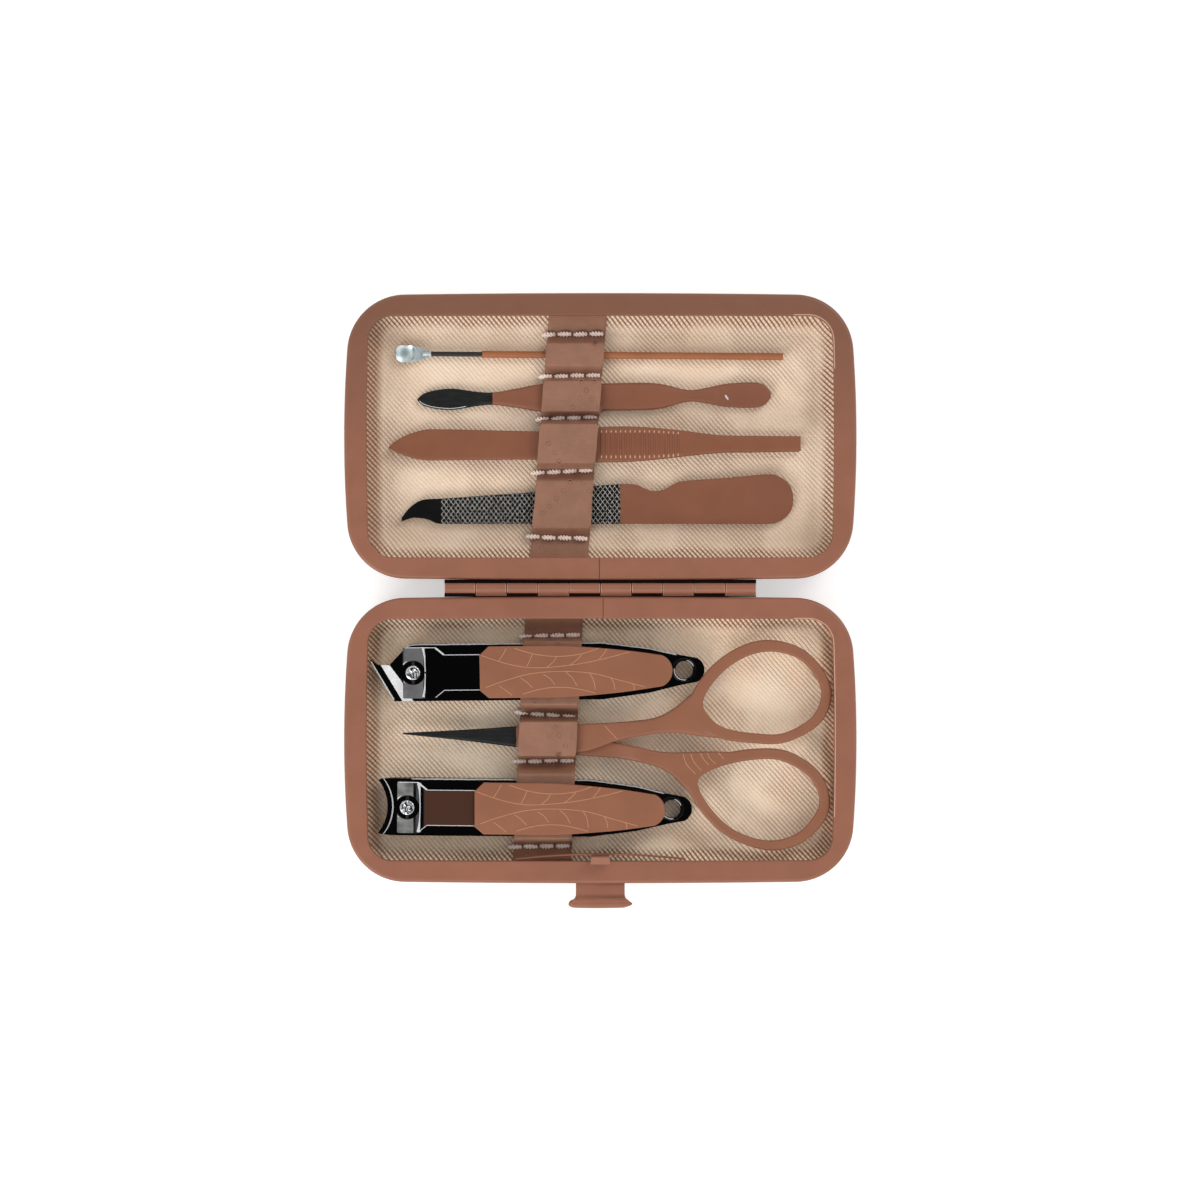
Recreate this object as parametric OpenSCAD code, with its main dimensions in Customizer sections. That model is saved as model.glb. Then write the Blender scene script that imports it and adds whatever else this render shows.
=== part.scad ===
// Manicure set in a framed hard case, lying open flat. Millimetres, +Z up, +Y from the tray to the lid.
// The origin is the centre of the tray's underside. The lid is the upper half when seen from above.

/* [Case halves] */
// Length of each half
case_w = 110; // [108:1:135]
// Depth of each half, front to back
half_d = 61.6; // [60:0.1:76]
// Height of each half
half_h = 11.5; // [11:0.1:15]
// Outer corner radius
corner_r = 12.5; // [11:0.5:15]
// How far each short side bows out past its corners
bow_end = 0.65; // [0.3:0.05:1.2]
// How far each long side bows out past its corners
bow_side = 0.3; // [0.1:0.05:0.6]
// Thickness of the leather cover
cover_t = 0.9; // [0.6:0.05:1.2]
// Outer radius of the cover's lower edge
cover_r = 3.5; // [2.5:0.1:4]
// Thickness of the stiff shell inside the cover
shell_t = 0.7; // [0.5:0.05:1]

/* [Metal frame] */
// Width of the rail on the long sides
rail_side = 4.8; // [4:0.1:6]
// Width of the rail on the short sides
rail_end = 4.8; // [4:0.1:6]
// Thickness of the rail's flat top
rail_t = 0.8; // [0.6:0.05:1]
// Height of the frame's outer wall
frame_wall_h = 3.4; // [2.5:0.1:5]
// Thickness of the frame's outer wall
frame_wall_t = 0.5; // [0.4:0.05:0.7]
// Height of the inner lip that is turned down
lip_h = 2; // [1.5:0.1:3]
// Thickness of the inner lip
lip_t = 0.6; // [0.4:0.05:0.8]
// Corner radius of the opening
open_r = 5.3; // [4:0.1:8]
// Width of the butt seam in each bent frame
seam_w = 0.15; // [0.1:0.01:0.3]

/* [Lining] */
// Height of the lining's floor above the underside
floor_z = 3.6; // [3:0.1:4.5]
// Rise of the padded crown in the middle of the floor
crown_h = 0.2; // [0:0.05:0.4]
// Gap between the lining's upper edge and the lip above it
rim_drop = 0.4; // [0.3:0.1:2]
// Width of the sloping side of the lining
slope_w = 5.4; // [3:0.1:7]

/* [Hinge] */
// Gap between the two halves when open
half_gap = 3.5; // [3.2:0.1:5]
// Number of knuckles, shared by both leaves
knuckles = 10; // [6:2:14]
// Length of one knuckle with its gap
knuckle_pitch = 6.69; // [4:0.01:7]
// Radius of a knuckle
knuckle_r = 1.25; // [1:0.05:1.4]
// Radius of the hinge pin
pin_r = 0.55; // [0.4:0.05:0.7]
// Thickness of the hinge leaves
leaf_t = 0.5; // [0.3:0.05:0.6]

/* [Straps] */
// Width of both loop straps
strap_w = 12.5; // [10:0.1:15]
// Thickness of the strap leather
strap_t = 0.8; // [0.6:0.05:1]
// Slant of the lid's strap in degrees
lid_strap_slant = 4.45; // [-8:0.05:8]
// Slant of the tray's strap in degrees
tray_strap_slant = 2.85; // [-8:0.05:8]

/* [Catch] */
// Width of the push tab
tab_w = 10.5; // [8:0.1:14]
// Width of the thumb lip
thumb_w = 13.8; // [10:0.1:18]
// Width of the tooth
tooth_w = 4; // [3:0.1:5]
// Overlap of the tooth's barb with the lip that it holds
barb = 0.45; // [0.3:0.05:0.8]
// Travel of the catch when it is pushed in
catch_travel = 1.2; // [0.8:0.1:1.5]
// Length of the bowed leaf spring
spring_l = 36.4; // [24:0.1:44]
// Rise of the leaf spring's bow
spring_bow = 1.05; // [0.6:0.05:1.1]

/* [Clippers] */
// Width of both clippers
clipper_w = 12.3; // [10:0.1:13]
// Thickness of the clipper arms
arm_t = 1.3; // [1:0.05:1.5]
// Gap between the cutting edges
jaw_gap = 1.2; // [0.8:0.1:1.6]
// Radius of the post's neck
post_r = 1.15; // [0.9:0.05:1.3]
// Thickness of the lever plate
lever_t = 1.1; // [0.9:0.05:1.4]
// Width of the painted grips
grip_w = 11.1; // [9:0.1:12]
// Length of the toenail clipper
toenail_l = 72.2; // [71:0.1:73]
// Length of the fingernail clipper
fingernail_l = 67.9; // [67:0.1:69]

/* [Scissors] */
// Thickness of one blade at the pivot
blade_t = 1.3; // [1:0.05:1.5]
// Thickness of the finger rings
ring_t = 2.1; // [1.6:0.1:2.6]
// Radius of the pivot screw's shank
screw_r = 1.2; // [0.9:0.05:1.5]

/* [Tools in the lid] */
// Diameter of the ear pick's rod
pick_d = 1.5; // [1.2:0.1:2]
// Thickness of the cuticle pusher's handle
pusher_t = 2; // [1.5:0.1:2.4]
// Thickness of one tweezers arm
tweezer_t = 1; // [0.8:0.05:1.2]
// Gap between the tweezers' points
tweezer_gap = 3.2; // [2.5:0.1:3.6]
// Thickness of the nail file
file_t = 1.2; // [1:0.1:1.6]

/* [Hidden] */

paint = "#8b5a45";
leather = "#7d5143";
lining_tan = "#e0c6a8";
gunmetal = "#2b2b2e";
steel = "#c9ccd0";
board = "#9a9a9a";

slip = 0.1;                 // fit between layers of one half
seat = 0.3;                 // a hard piece above soft lining
run = 0.05;                 // radial clearance of a pin in its hole
eps = 0.01;

outer = [case_w, half_d, corner_r, bow_end, bow_side];
open_w = case_w - 2 * rail_end;
open_d = half_d - 2 * rail_side;
opening = [open_w, open_d, open_r, 0.3, 0.1];
cover_inset = frame_wall_t + slip;
shell_inset = cover_inset + cover_t + slip / 2;
lining_inset = shell_inset + shell_t + slip;
wall_top = half_h - rail_t - slip;
lining_bottom = cover_t + shell_t + slip;
tuck = 1.4;                 // how far the lining's slope reaches under the rail
rim_w = 0.35;               // width of the lining's flat upper edge
tool_z = floor_z + crown_h + seat;
strap_z = floor_z + crown_h + 0.15;
lip_z = half_h - lip_h;
lining_rim_z = lip_z - rim_drop;

hinge_y = half_d / 2 + half_gap / 2;
hinge_z = half_h + slip;
hinge_l = knuckles * knuckle_pitch;

// ---- bowed rounded rectangle: b = [width, depth, corner radius, end bow, side bow] ----
function b_cx(b) = b[0] / 2 - b[2] - b[3];
function b_cy(b) = b[1] / 2 - b[2] - b[4];
function b_side_r(b) = b[2] + (b_cx(b) * b_cx(b) + b[4] * b[4]) / (2 * b[4]);
function b_end_r(b) = b[2] + (b_cy(b) * b_cy(b) + b[3] * b[3]) / (2 * b[3]);
function b_side_a(b) = atan(b_cx(b) / (b_side_r(b) - b[2] - b[4]));
function b_end_a(b) = atan(b_cy(b) / (b_end_r(b) - b[2] - b[3]));
function arc_points(c, r, a0, a1, n) = [for (i = [0:n])
    let (a = a0 + (a1 - a0) * i / n) c + r * [cos(a), sin(a)]];
function without_last(p) = [for (i = [0:len(p) - 2]) p[i]];
function quarter(b, i) = concat(
    without_last(arc_points([b[0] / 2 - b_end_r(b), 0], b_end_r(b) - i, 0, b_end_a(b), 2)),
    without_last(arc_points([b_cx(b), b_cy(b)], b[2] - i, b_end_a(b), 90 - b_side_a(b), 7)),
    arc_points([0, b[1] / 2 - b_side_r(b)], b_side_r(b) - i, 90 - b_side_a(b), 90, 3));
function whole(q) = let (n = len(q) - 1) concat(
    [for (k = [0:n - 1]) q[k]],
    [for (k = [n:-1:1]) [-q[k][0], q[k][1]]],
    [for (k = [0:n - 1]) -q[k]],
    [for (k = [n:-1:1]) [q[k][0], -q[k][1]]]);
function outline(b, inset = 0) = whole(quarter(b, inset));
// ---- lofts and curves ----
function cubic(a, b, c, d, t) = 0.5 * (2 * b + (c - a) * t + (2 * a - 5 * b + 4 * c - d) * t * t
    + (3 * b - a - 3 * c + d) * t * t * t);
function spline(p, n) = let (m = len(p) - 1) concat(
    [for (i = [0:m - 1], k = [0:n - 1]) cubic(p[max(i - 1, 0)], p[i], p[i + 1], p[min(i + 2, m)], k / n)],
    [p[m]]);
function ring_spline(p, n) = let (m = len(p)) [for (i = [0:m - 1], k = [0:n - 1])
    cubic(p[(i + m - 1) % m], p[i], p[(i + 1) % m], p[(i + 2) % m], k / n)];
function lift(p, z) = [for (q = p) [q[0], q[1], z]];
function unit(v) = v / norm(v);
function inset_points(p, d) = let (m = len(p))
    [for (i = [0:m - 1]) let (t = unit(p[(i + 1) % m] - p[(i + m - 1) % m])) p[i] + d * [-t[1], t[0]]];

// A closed skin over rings of equally many points, each anticlockwise as seen from the last ring
module loft(rings) {
    n = len(rings[0]);
    last = len(rings) - 1;
    polyhedron(
        points = [for (r = rings, p = r) p],
        faces = concat(
            [[for (j = [0:n - 1]) j]],
            [[for (j = [n - 1:-1:0]) last * n + j]],
            [for (i = [0:last - 1], j = [0:n - 1]) let (k = (j + 1) % n, a = i * n, b = a + n)
                for (f = [[a + j, b + j, b + k], [a + j, b + k, a + k]]) f]),
        convexity = 8);
}

// A skin whose last ring joins the first, as on a frame or a tyre
module closed_loft(rings) {
    n = len(rings[0]);
    m = len(rings);
    polyhedron(
        points = [for (r = rings, p = r) p],
        faces = [for (i = [0:m - 1], j = [0:n - 1]) let (k = (j + 1) % n, a = i * n, b = (i + 1) % m * n)
            for (f = [[a + j, b + j, b + k], [a + j, b + k, a + k]]) f],
        convexity = 8);
}

// A plate with bevelled edges over an anticlockwise outline
module bevelled(p, h, b) {
    loft([lift(inset_points(p, b), 0), lift(p, b), lift(p, h - b), lift(inset_points(p, b), h)]);
}

// An outline from stations [x, upper y, lower y]
function strip(st, n) = let (s = spline(st, n), m = len(s) - 1)
    concat([for (q = s) [q[0], q[2]]], [for (i = [m:-1:0]) [s[i][0], s[i][1]]]);

// A bar along X from stations [x, upper y, lower y, lower z, upper z]; a low "squareness" is boxier
function power(v, e) = sign(v) * pow(abs(v), e);
module bar(st, n, sides, squareness) {
    loft([for (s = spline(st, n))
        [for (k = [0:sides - 1]) let (a = 360 * (k + 0.5) / sides) [
            s[0],
            (s[1] + s[2]) / 2 + (s[1] - s[2]) / 2 * power(cos(a), squareness),
            (s[3] + s[4]) / 2 + (s[4] - s[3]) / 2 * power(sin(a), squareness)]]]);
}

// The lid lies mirrored behind the hinge
module on_lid() {
    translate([0, 2 * hinge_y, 0])
        mirror([0, 1, 0])
            children();
}

// ---- case halves ----
// Rings round the rounded lower edge of a half, from its flat underside up to its wall
foot_turns = [90, 60, 30, 0];
function foot_rings(inset, z, r) = [for (a = foot_turns)
    lift(outline(outer, inset + r * (1 - cos(a))), z + r * (1 - sin(a)))];
function reversed(v) = [for (i = [len(v) - 1:-1:0]) v[i]];

// A shallow tub of even thickness with a rounded lower edge
module tub(inset, z, t, r) {
    loft(concat(
        foot_rings(inset, z, r),
        [lift(outline(outer, inset), wall_top), lift(outline(outer, inset + t), wall_top)],
        reversed(foot_rings(inset + t, z + t, r - t))));
}

module cover() {
    tub(cover_inset, 0, cover_t, cover_r);
}

module shell() {
    tub(shell_inset, cover_t, shell_t, cover_r - cover_t);
}

edge_r = rail_t;
lip_chamfer = 0.25;
tray_seam_x = 0.6;
lid_seam_x = -0.2;
// The frame's section as rings: the outer wall, the rounded edge, the flat rail and the turned-down lip
function frame_rings() = concat(
    [lift(outline(outer), half_h - frame_wall_h)],
    [for (a = [0, 30, 60, 90]) lift(outline(outer, edge_r * (1 - cos(a))), half_h - edge_r * (1 - sin(a)))],
    [lift(outline(opening, -lip_chamfer), half_h), lift(outline(opening), half_h - lip_chamfer)],
    [lift(outline(opening), lip_z), lift(outline(opening, -lip_t), lip_z)],
    [lift(outline(opening, -lip_t), half_h - rail_t), lift(outline(outer, frame_wall_t), half_h - rail_t)],
    [lift(outline(outer, frame_wall_t), half_h - frame_wall_h)]);

module frame(seam_x) {
    difference() {
        closed_loft(frame_rings());
        translate([seam_x - seam_w / 2, open_d / 2 - 1, half_h - 0.3])
            cube([seam_w, rail_side + 2, 1]);
    }
}

// Height of the lining's face at a distance inside the opening's edge
function slope_z(inset) = let (t = min(1, max(0, (inset + tuck) / slope_w)))
    floor_z + (lining_rim_z - floor_z) * pow(1 - t, 2.2);
function scaled(p, k) = [for (q = p) k * q];
slope_steps = [0.16, 0.34, 0.54, 0.76, 1];
foot_r = cover_r - cover_t - shell_t;
module lining() {
    inner = outline(opening, slope_w - tuck);
    loft(concat(
        foot_rings(lining_inset, lining_bottom, foot_r),
        [for (i = [0, rim_w]) lift(outline(outer, lining_inset + i), lining_rim_z)],
        [for (t = slope_steps) lift(outline(opening, t * slope_w - tuck), slope_z(t * slope_w - tuck))],
        [for (k = [0.8, 0.5, 0.2]) lift(scaled(inner, k), floor_z + crown_h * (1 - k * k))]));
}

// ---- straps: stitch rows hold the leather down, loops rise over the tools ----
loop_square = 6.5;
row_flat = 0.4;
strap_tuck = 0.6;                   // how far the strap's ends reach under the rail
strap_lift = 0.25;                  // gap between the strap and the sloping lining

// A station of the ribbon is [lower y, lower z, upper y, upper z]
function flat_station(y) = let (z = max(strap_z, slope_z(open_d / 2 - abs(y)) + strap_lift))
    [y, z, y, z + strap_t];
function flat_stations(y0, y1) = [for (k = [0:8]) flat_station(y0 + (y1 - y0) * k / 8)];
function arch_stations(y0, y1, h) = [for (i = [0:24])
    let (a = 180 - 180 * i / 24, c = power(cos(a), 2 / loop_square), s = power(sin(a), 2 / loop_square),
        mid = (y0 + y1) / 2, w = (y1 - y0 - row_flat) / 2)
    [mid + (w - strap_t) * c, strap_z + h * s, mid + w * c, strap_z + max(strap_t, (h + strap_t) * s)]];
function strap_stations(rows, heights) = let (last = len(rows) - 1, end = open_d / 2 + strap_tuck) concat(
    flat_stations(-end, rows[0]),
    [for (i = [0:last - 1], p = arch_stations(rows[i], rows[i + 1], heights[i])) p],
    flat_stations(rows[last], end));

// The ribbon leans sideways by "slant" along its length, and its rows stay square to the case
module strap(x, slant, rows, heights) {
    lean = tan(slant);
    w = strap_w / 2;
    loft([for (q = strap_stations(rows, heights)) [
        [x - w + q[0] * lean, q[0], q[1]],
        [x - w + q[2] * lean, q[2], q[3]],
        [x + w + q[2] * lean, q[2], q[3]],
        [x + w + q[0] * lean, q[0], q[1]]]]);
}

tray_strap_x = -11.3;
lid_strap_x = -6.9;
tray_rows = [-23.2, -4.7, 5.1, 22.3];
scissor_loop_h = 5.6;
clipper_loop_h = 5.3;
tray_loops = [clipper_loop_h, scissor_loop_h, clipper_loop_h];
// Rows of the lid's strap, from the lid's front edge to the hinge, in the lid's own half
lid_rows = [-22.4, -13.4, -4.3, 7.2, 21.6];
tweezers_loop_h = 5.4;
lid_loops = [2.6, 3.1, tweezers_loop_h, 2.4];

// ---- hinge ----
module knuckle_row(first) {
    for (i = [first:2:knuckles - 1])
        translate([i * knuckle_pitch - hinge_l / 2 + slip, 0, 0]) {
            difference() {
                rotate([0, 90, 0])
                    cylinder(r = knuckle_r, h = knuckle_pitch - 2 * slip, $fn = 48);
                translate([-1, 0, 0])
                    rotate([0, 90, 0])
                        cylinder(r = pin_r + run, h = knuckle_pitch + 2, $fn = 36);
            }
            difference() {
                translate([0, -half_gap / 2 + slip / 2, -knuckle_r])
                    cube([knuckle_pitch - 2 * slip, half_gap / 2 - slip / 2, leaf_t]);
                translate([-1, 0, 0])
                    rotate([0, 90, 0])
                        cylinder(r = pin_r + run, h = knuckle_pitch + 2, $fn = 36);
            }
        }
}

leaf_drop = 3;
module leaf(first) {
    translate([0, hinge_y, hinge_z]) {
        knuckle_row(first);
        translate([-hinge_l / 2 + slip, -half_gap / 2 + slip / 2, -knuckle_r - leaf_drop + leaf_t])
            cube([hinge_l - 2 * slip, leaf_t, leaf_drop]);
    }
}

// ---- catch ----
tab_z = wall_top - 1;
tab_t = 0.9;
tooth_y = -open_d / 2 + slip;        // the tooth's outer face
tooth_back = tooth_y + 1.1;          // its inner face
lid_lip_z = 2 * hinge_z - lip_z;     // lower edge of the lid's lip when closed
barb_z = lid_lip_z + 0.25;
nose_y = -open_d / 2 - barb;
tab_front = -half_d / 2 - 3.6;
tab_step = -half_d / 2 + 2.2;
thumb_d = 1.9;
thumb_h = 2.2;
slot_gap = 0.3;

module catch_slots() {
    translate([-tab_w / 2 - slot_gap, -half_d / 2 - 1, tab_z - slot_gap])
        cube([tab_w + 2 * slot_gap, tab_step + half_d / 2 + 1 + catch_travel + slot_gap,
            tab_t + 2 * slot_gap]);
    translate([-tooth_w / 2 - slot_gap, tab_step - 1, tab_z - slot_gap])
        cube([tooth_w + 2 * slot_gap, tooth_y - tab_step + 3, tab_t + 2 * slot_gap]);
}

module tooth_profile() {
    polygon([[tooth_back, tab_z], [tooth_back, barb_z + 1.3], [tooth_back - 0.35, barb_z + 1.5],
        [nose_y, barb_z + 0.4], [nose_y, barb_z], [tooth_y, barb_z], [tooth_y, tab_z]]);
}

module catch_tab() {
    color(paint) {
        translate([-tooth_w / 2, 0, 0])
            rotate([90, 0, 90])
                linear_extrude(tooth_w)
                    tooth_profile();
        translate([-tooth_w / 2, tab_step - 0.5, tab_z])
            cube([tooth_w, tooth_y - tab_step + 0.6, tab_t]);
        translate([-tab_w / 2, tab_front, tab_z])
            cube([tab_w, tab_step - tab_front, tab_t]);
        translate([0, tab_front, tab_z + tab_t - thumb_h / 2])
            bar([[-thumb_w / 2, 0.25, -thumb_d + 0.35, -0.5, 0.6],
                [-thumb_w / 2 + 0.5, 0.45, -thumb_d + 0.1, -0.9, 0.9],
                [-thumb_w / 4, 0.5, -thumb_d, -thumb_h / 2, thumb_h / 2],
                [thumb_w / 4, 0.5, -thumb_d, -thumb_h / 2, thumb_h / 2],
                [thumb_w / 2 - 0.5, 0.45, -thumb_d + 0.1, -0.9, 0.9],
                [thumb_w / 2, 0.25, -thumb_d + 0.35, -0.5, 0.6]], 3, 12, 0.8);
    }
}

spring_t = 0.35;
spring_h = 1.8;
spring_r = (spring_l * spring_l / 4 + spring_bow * spring_bow) / (2 * spring_bow);
spring_a = asin(spring_l / 2 / spring_r);
module catch_spring() {
    color(paint)
        translate([0, tooth_back + 0.02 - spring_r, lip_z - 1])
            rotate(90 - spring_a)
                rotate_extrude(angle = 2 * spring_a, $fn = 720)
                    translate([spring_r, 0])
                        square([spring_t, spring_h]);
}

// ---- tools in the lid ----
lid_y = 2 * hinge_y;                // middle of the lid
pick_y = lid_y + 17.9;
pick_slope = -0.45;
neck_d = 1.05;
spoon_l = 4.4;
spoon_w = 3.7;
spoon_round = 1.3;
spoon_r = 4.2;                      // radius of the spoon's hollow
spoon_t = 0.35;
module spoon_plan() {
    for (x = [-1, 1], y = [-1, 1])
        translate([x * (spoon_l / 2 - spoon_round), y * (spoon_w / 2 - spoon_round)])
            circle(spoon_round, $fn = 32);
    square([spoon_l, spoon_w - 2 * spoon_round], center = true);
    square([spoon_l - 2 * spoon_round, spoon_w], center = true);
}

module ear_pick() {
    color(steel)
        translate([-2, pick_y, tool_z])
            rotate(pick_slope) {
                translate([-23.6, 0, pick_d / 2])
                    rotate([0, 90, 0])
                        cylinder(d = pick_d, h = 65.1, $fn = 32);
                translate([-36.4, 0, pick_d / 2])
                    rotate([0, 90, 0])
                        cylinder(d = neck_d, h = 13, $fn = 24);
                translate([0, 0, pick_d / 2 - 0.2])
                    linear_extrude(0.4)
                        polygon([[-38.6, -1.3], [-37.8, -1.6], [-36.9, -1.4], [-34.9, -0.5], [-34.9, 0.5],
                            [-36.9, 1.4], [-37.8, 1.6], [-38.6, 1.3]]);
                translate([-40, 0, spoon_r + spoon_t])
                    intersection() {
                        difference() {
                            sphere(spoon_r + spoon_t, $fn = 64);
                            sphere(spoon_r, $fn = 64);
                        }
                        translate([0, 0, -spoon_r - 1])
                            linear_extrude(spoon_r)
                                spoon_plan();
                    }
            }
}

pusher_y = lid_y + 8.8;
pusher_slope = 0.8;
// Stations of the cuticle pusher: [x, half width, lower z, upper z]
pusher_stations = [[-39.6, 0.15, 0.35, 0.6], [-38.2, 1.3, 0.2, 0.8], [-35.5, 2.05, 0.1, 0.9],
    [-31.8, 2.3, 0.1, 1.0], [-27, 1.6, 0.15, 1.3], [-23.3, 1.35, 0.1, 1.6], [-18, 2.1, 0, pusher_t],
    [-11.9, 3.05, 0, pusher_t], [0, 2.95, 0, pusher_t], [11.7, 2.85, 0, pusher_t],
    [18.8, 1.3, 0.1, pusher_t - 0.2], [23, 1.7, 0.2, 1.6], [27.2, 2.5, 0.3, 1.4], [33, 2.75, 0.3, 1.3],
    [35.6, 2.1, 0.35, 1.2], [36.9, 0.5, 0.45, 1.0]];
module cuticle_pusher() {
    color(paint)
        translate([0, pusher_y, tool_z])
            rotate(pusher_slope)
                difference() {
                    bar([for (s = pusher_stations) [s[0], s[1], -s[1], s[2], s[3]]], 3, 12, 0.6);
                    translate([24.5, 0, pusher_t + 7.4])
                        rotate([0, 90, 0])
                            cylinder(r = 8.3, h = 13, $fn = 64);
                }
}

tweezers_y = lid_y - 1.5;
tweezers_joint_z = tool_z + tweezer_t;
grip_first = 0;                     // first and last place of the ridges under the fingers
grip_last = 17.5;
grip_pitch = 1.03;
ridge_w = 0.35;
ridge_l = 4.6;
ridge_h = 0.2;                      // how far a ridge stands above the arm
ridge_sink = 0.25;
tweezers_plan = [[-45.7, -0.5, -0.8], [-43, 1.5, -2.1], [-38.5, 3.1, -3.3], [-33, 3.3, -3.35],
    [-13, 2.8, -3.2], [-6, 3.1, -3.4], [0, 3.7, -3.8], [8, 3.75, -3.6], [17.7, 2.9, -2.6],
    [25.6, 1.9, -1.8], [34, 1.75, -1.65], [43.1, 1.65, -1.5]];
// Lower faces of the upper arm above the joint, one for each station of the plan
tweezers_rise = [0, 0, 0, 0.1, 1.35, 1.75, 2.15, 2.6, 2.95, 3.1, 3.15, tweezer_gap];
rise_table = [for (i = [0:len(tweezers_plan) - 1]) [tweezers_plan[i][0], tweezers_rise[i]]];
module tweezers_arm(rise, t) {
    bar([for (i = [0:len(tweezers_plan) - 1]) concat(tweezers_plan[i], [rise[i], rise[i] + t])], 2, 12, 0.4);
}

// Raised ridges across the arm; each sinks a little into the arm that it stands on
module grip_ridges(z) {
    for (x = [grip_first:grip_pitch:grip_last])
        translate([x, -ridge_l / 2, z + lookup(x, rise_table) - ridge_sink])
            cube([ridge_w, ridge_l, ridge_sink + ridge_h]);
}

module tweezers_lower_arm() {
    color(paint)
        translate([0, tweezers_y, tool_z])
            tweezers_arm([for (p = tweezers_plan) 0], tweezer_t - 0.02);
}

module tweezers_upper_arm() {
    color(paint)
        translate([0, tweezers_y, tweezers_joint_z]) {
            tweezers_arm(tweezers_rise, tweezer_t);
            grip_ridges(tweezer_t);
        }
}

file_y = lid_y - 18.6;
file_plan = [[-43, 1.3, 0.5], [-41.7, 3, 1], [-40.3, 4.25, 1.3], [-38.7, 5.1, 1.2], [-37, 5.35, 0.8],
    [-35.5, 5.4, 0.15], [-33.5, 5.5, 0], [-24, 6.2, 0], [-14, 6.9, 0], [0, 8.3, 0], [6.5, 8.6, 0],
    [8.6, 8.1, 0], [10.5, 7.3, 0], [12.1, 7.1, 0], [14, 7.5, 0], [16.2, 8.7, 0], [18.2, 9.25, 0],
    [28, 10, 0], [36.4, 10.7, 0], [39.1, 10.0, 0.7], [41, 8.3, 2.4], [41.7, 6.3, 4.3]];
module nail_file() {
    color(paint)
        translate([0, file_y, tool_z])
            bevelled(strip(file_plan, 2), file_t, 0.15);
}

// ---- clippers: local x runs from the cutting edge to the tail, y = 0 on the centre line ----
tail_flat = 8;
rivet_back = 4.4;                   // from the tail's end to the hollow rivet
cut_z = 3;
arm_gap = cut_z + jaw_gap - arm_t - 0.5;
lever_z = 6.3;                      // underside of the lever
pivot_z = lever_z + 0.1;
cross_pin_r = 0.4;
head_hole_r = 2.6;
post_head_r = 1.6;
post_head_top = 0.8;                // how far the post's head stands above the lever
post_foot_r = 1.9;
post_foot = 0.2;                    // height of the post's foot under the lower arm
post_play = 0.5;                    // clearance of the upper arm's hole round the post
rivet_bore_r = 1.9;
rivet_r = 2.2;
rivet_play = 0.15;                  // lets the tail rise a little as the jaws close
rivet_lip = 0.4;                    // width of the rivet's turned-over edge
rivet_lip_t = 0.15;

function arm_low(l) = [[l, 0], [13, 0], [7, 0.25], [3, 1.4], [0.3, cut_z - 0.15], [0, cut_z],
    [1.1, cut_z - 0.05], [4.4, 2.35], [8, arm_t + 0.1], [14, arm_t], [l, arm_t]];
function arm_high(l) = let (top = arm_t + arm_gap) [[l, arm_t], [l - tail_flat, arm_t], [13, top],
    [8, top + 0.1], [4, cut_z + jaw_gap + 0.25], [1.1, cut_z + jaw_gap - 0.05], [0, cut_z + jaw_gap],
    [0.4, cut_z + jaw_gap + 0.5], [3, top + arm_t - 0.1], [8, top + arm_t + 0.1], [13, top + arm_t],
    [l - tail_flat, 2 * arm_t], [l, 2 * arm_t]];

// Plan of an arm: the tail narrows to a round end
function tail_plan(l, w) = let (k = l - 22) concat(
    [[k, -w / 2], [k + 10, -w / 2 + 1.3], [l - 5, -3.2]],
    arc_points([l - 2.9, 0], 2.9, -62, 62, 8),
    [[l - 5, 3.2], [k + 10, w / 2 - 1.3], [k, w / 2]]);

module arm_plate(profile, y) {
    translate([0, y, 0])
        rotate([90, 0, 0])
            linear_extrude(2 * y)
                polygon(profile);
}

module arm(l, post_x, profile, jaw, hole_r) {
    difference() {
        intersection() {
            arm_plate(profile, 10);
            translate([0, 0, -1])
                linear_extrude(12)
                    polygon(concat(jaw, tail_plan(l, clipper_w)));
        }
        translate([post_x, 0, -2])
            cylinder(r = hole_r, h = 16, $fn = 48);
        translate([l - rivet_back, 0, -2])
            cylinder(r = rivet_r + run, h = 16, $fn = 48);
        children();
    }
}

module clipper_post(post_x) {
    color(steel)
        translate([post_x, 0, 0]) {
            translate([0, 0, -post_foot])
                cylinder(r = post_foot_r, h = post_foot, $fn = 48);
            difference() {
                union() {
                    translate([0, 0, -post_foot / 2])
                        cylinder(r = post_r, h = lever_z, $fn = 48);
                    translate([0, 0, lever_z - 0.6])
                        cylinder(r = post_head_r, h = 0.6 + lever_t + post_head_top, $fn = 48);
                }
                translate([0, 4, pivot_z])
                    rotate([90, 0, 0])
                        cylinder(r = cross_pin_r + run, h = 8, $fn = 32);
            }
        }
}

cross_pin_l = 2 * head_hole_r + 2;
module clipper_cross_pin(post_x) {
    color(steel)
        translate([post_x, cross_pin_l / 2, pivot_z])
            rotate([90, 0, 0])
                cylinder(r = cross_pin_r, h = cross_pin_l, $fn = 32);
}

module clipper_rivet(l) {
    lip_low = 2 * arm_t + rivet_play;
    color(gunmetal)
        translate([l - rivet_back, 0, 0])
            rotate_extrude($fn = 64)
                polygon([[rivet_bore_r, -rivet_lip_t], [rivet_r, -rivet_lip_t], [rivet_r, lip_low],
                    [rivet_r + rivet_lip, lip_low], [rivet_r + rivet_lip - 0.1, lip_low + rivet_lip_t],
                    [rivet_bore_r + 0.1, lip_low + rivet_lip_t], [rivet_bore_r, lip_low]]);
}

head_w = 11;
stem_w = 7.8;
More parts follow.
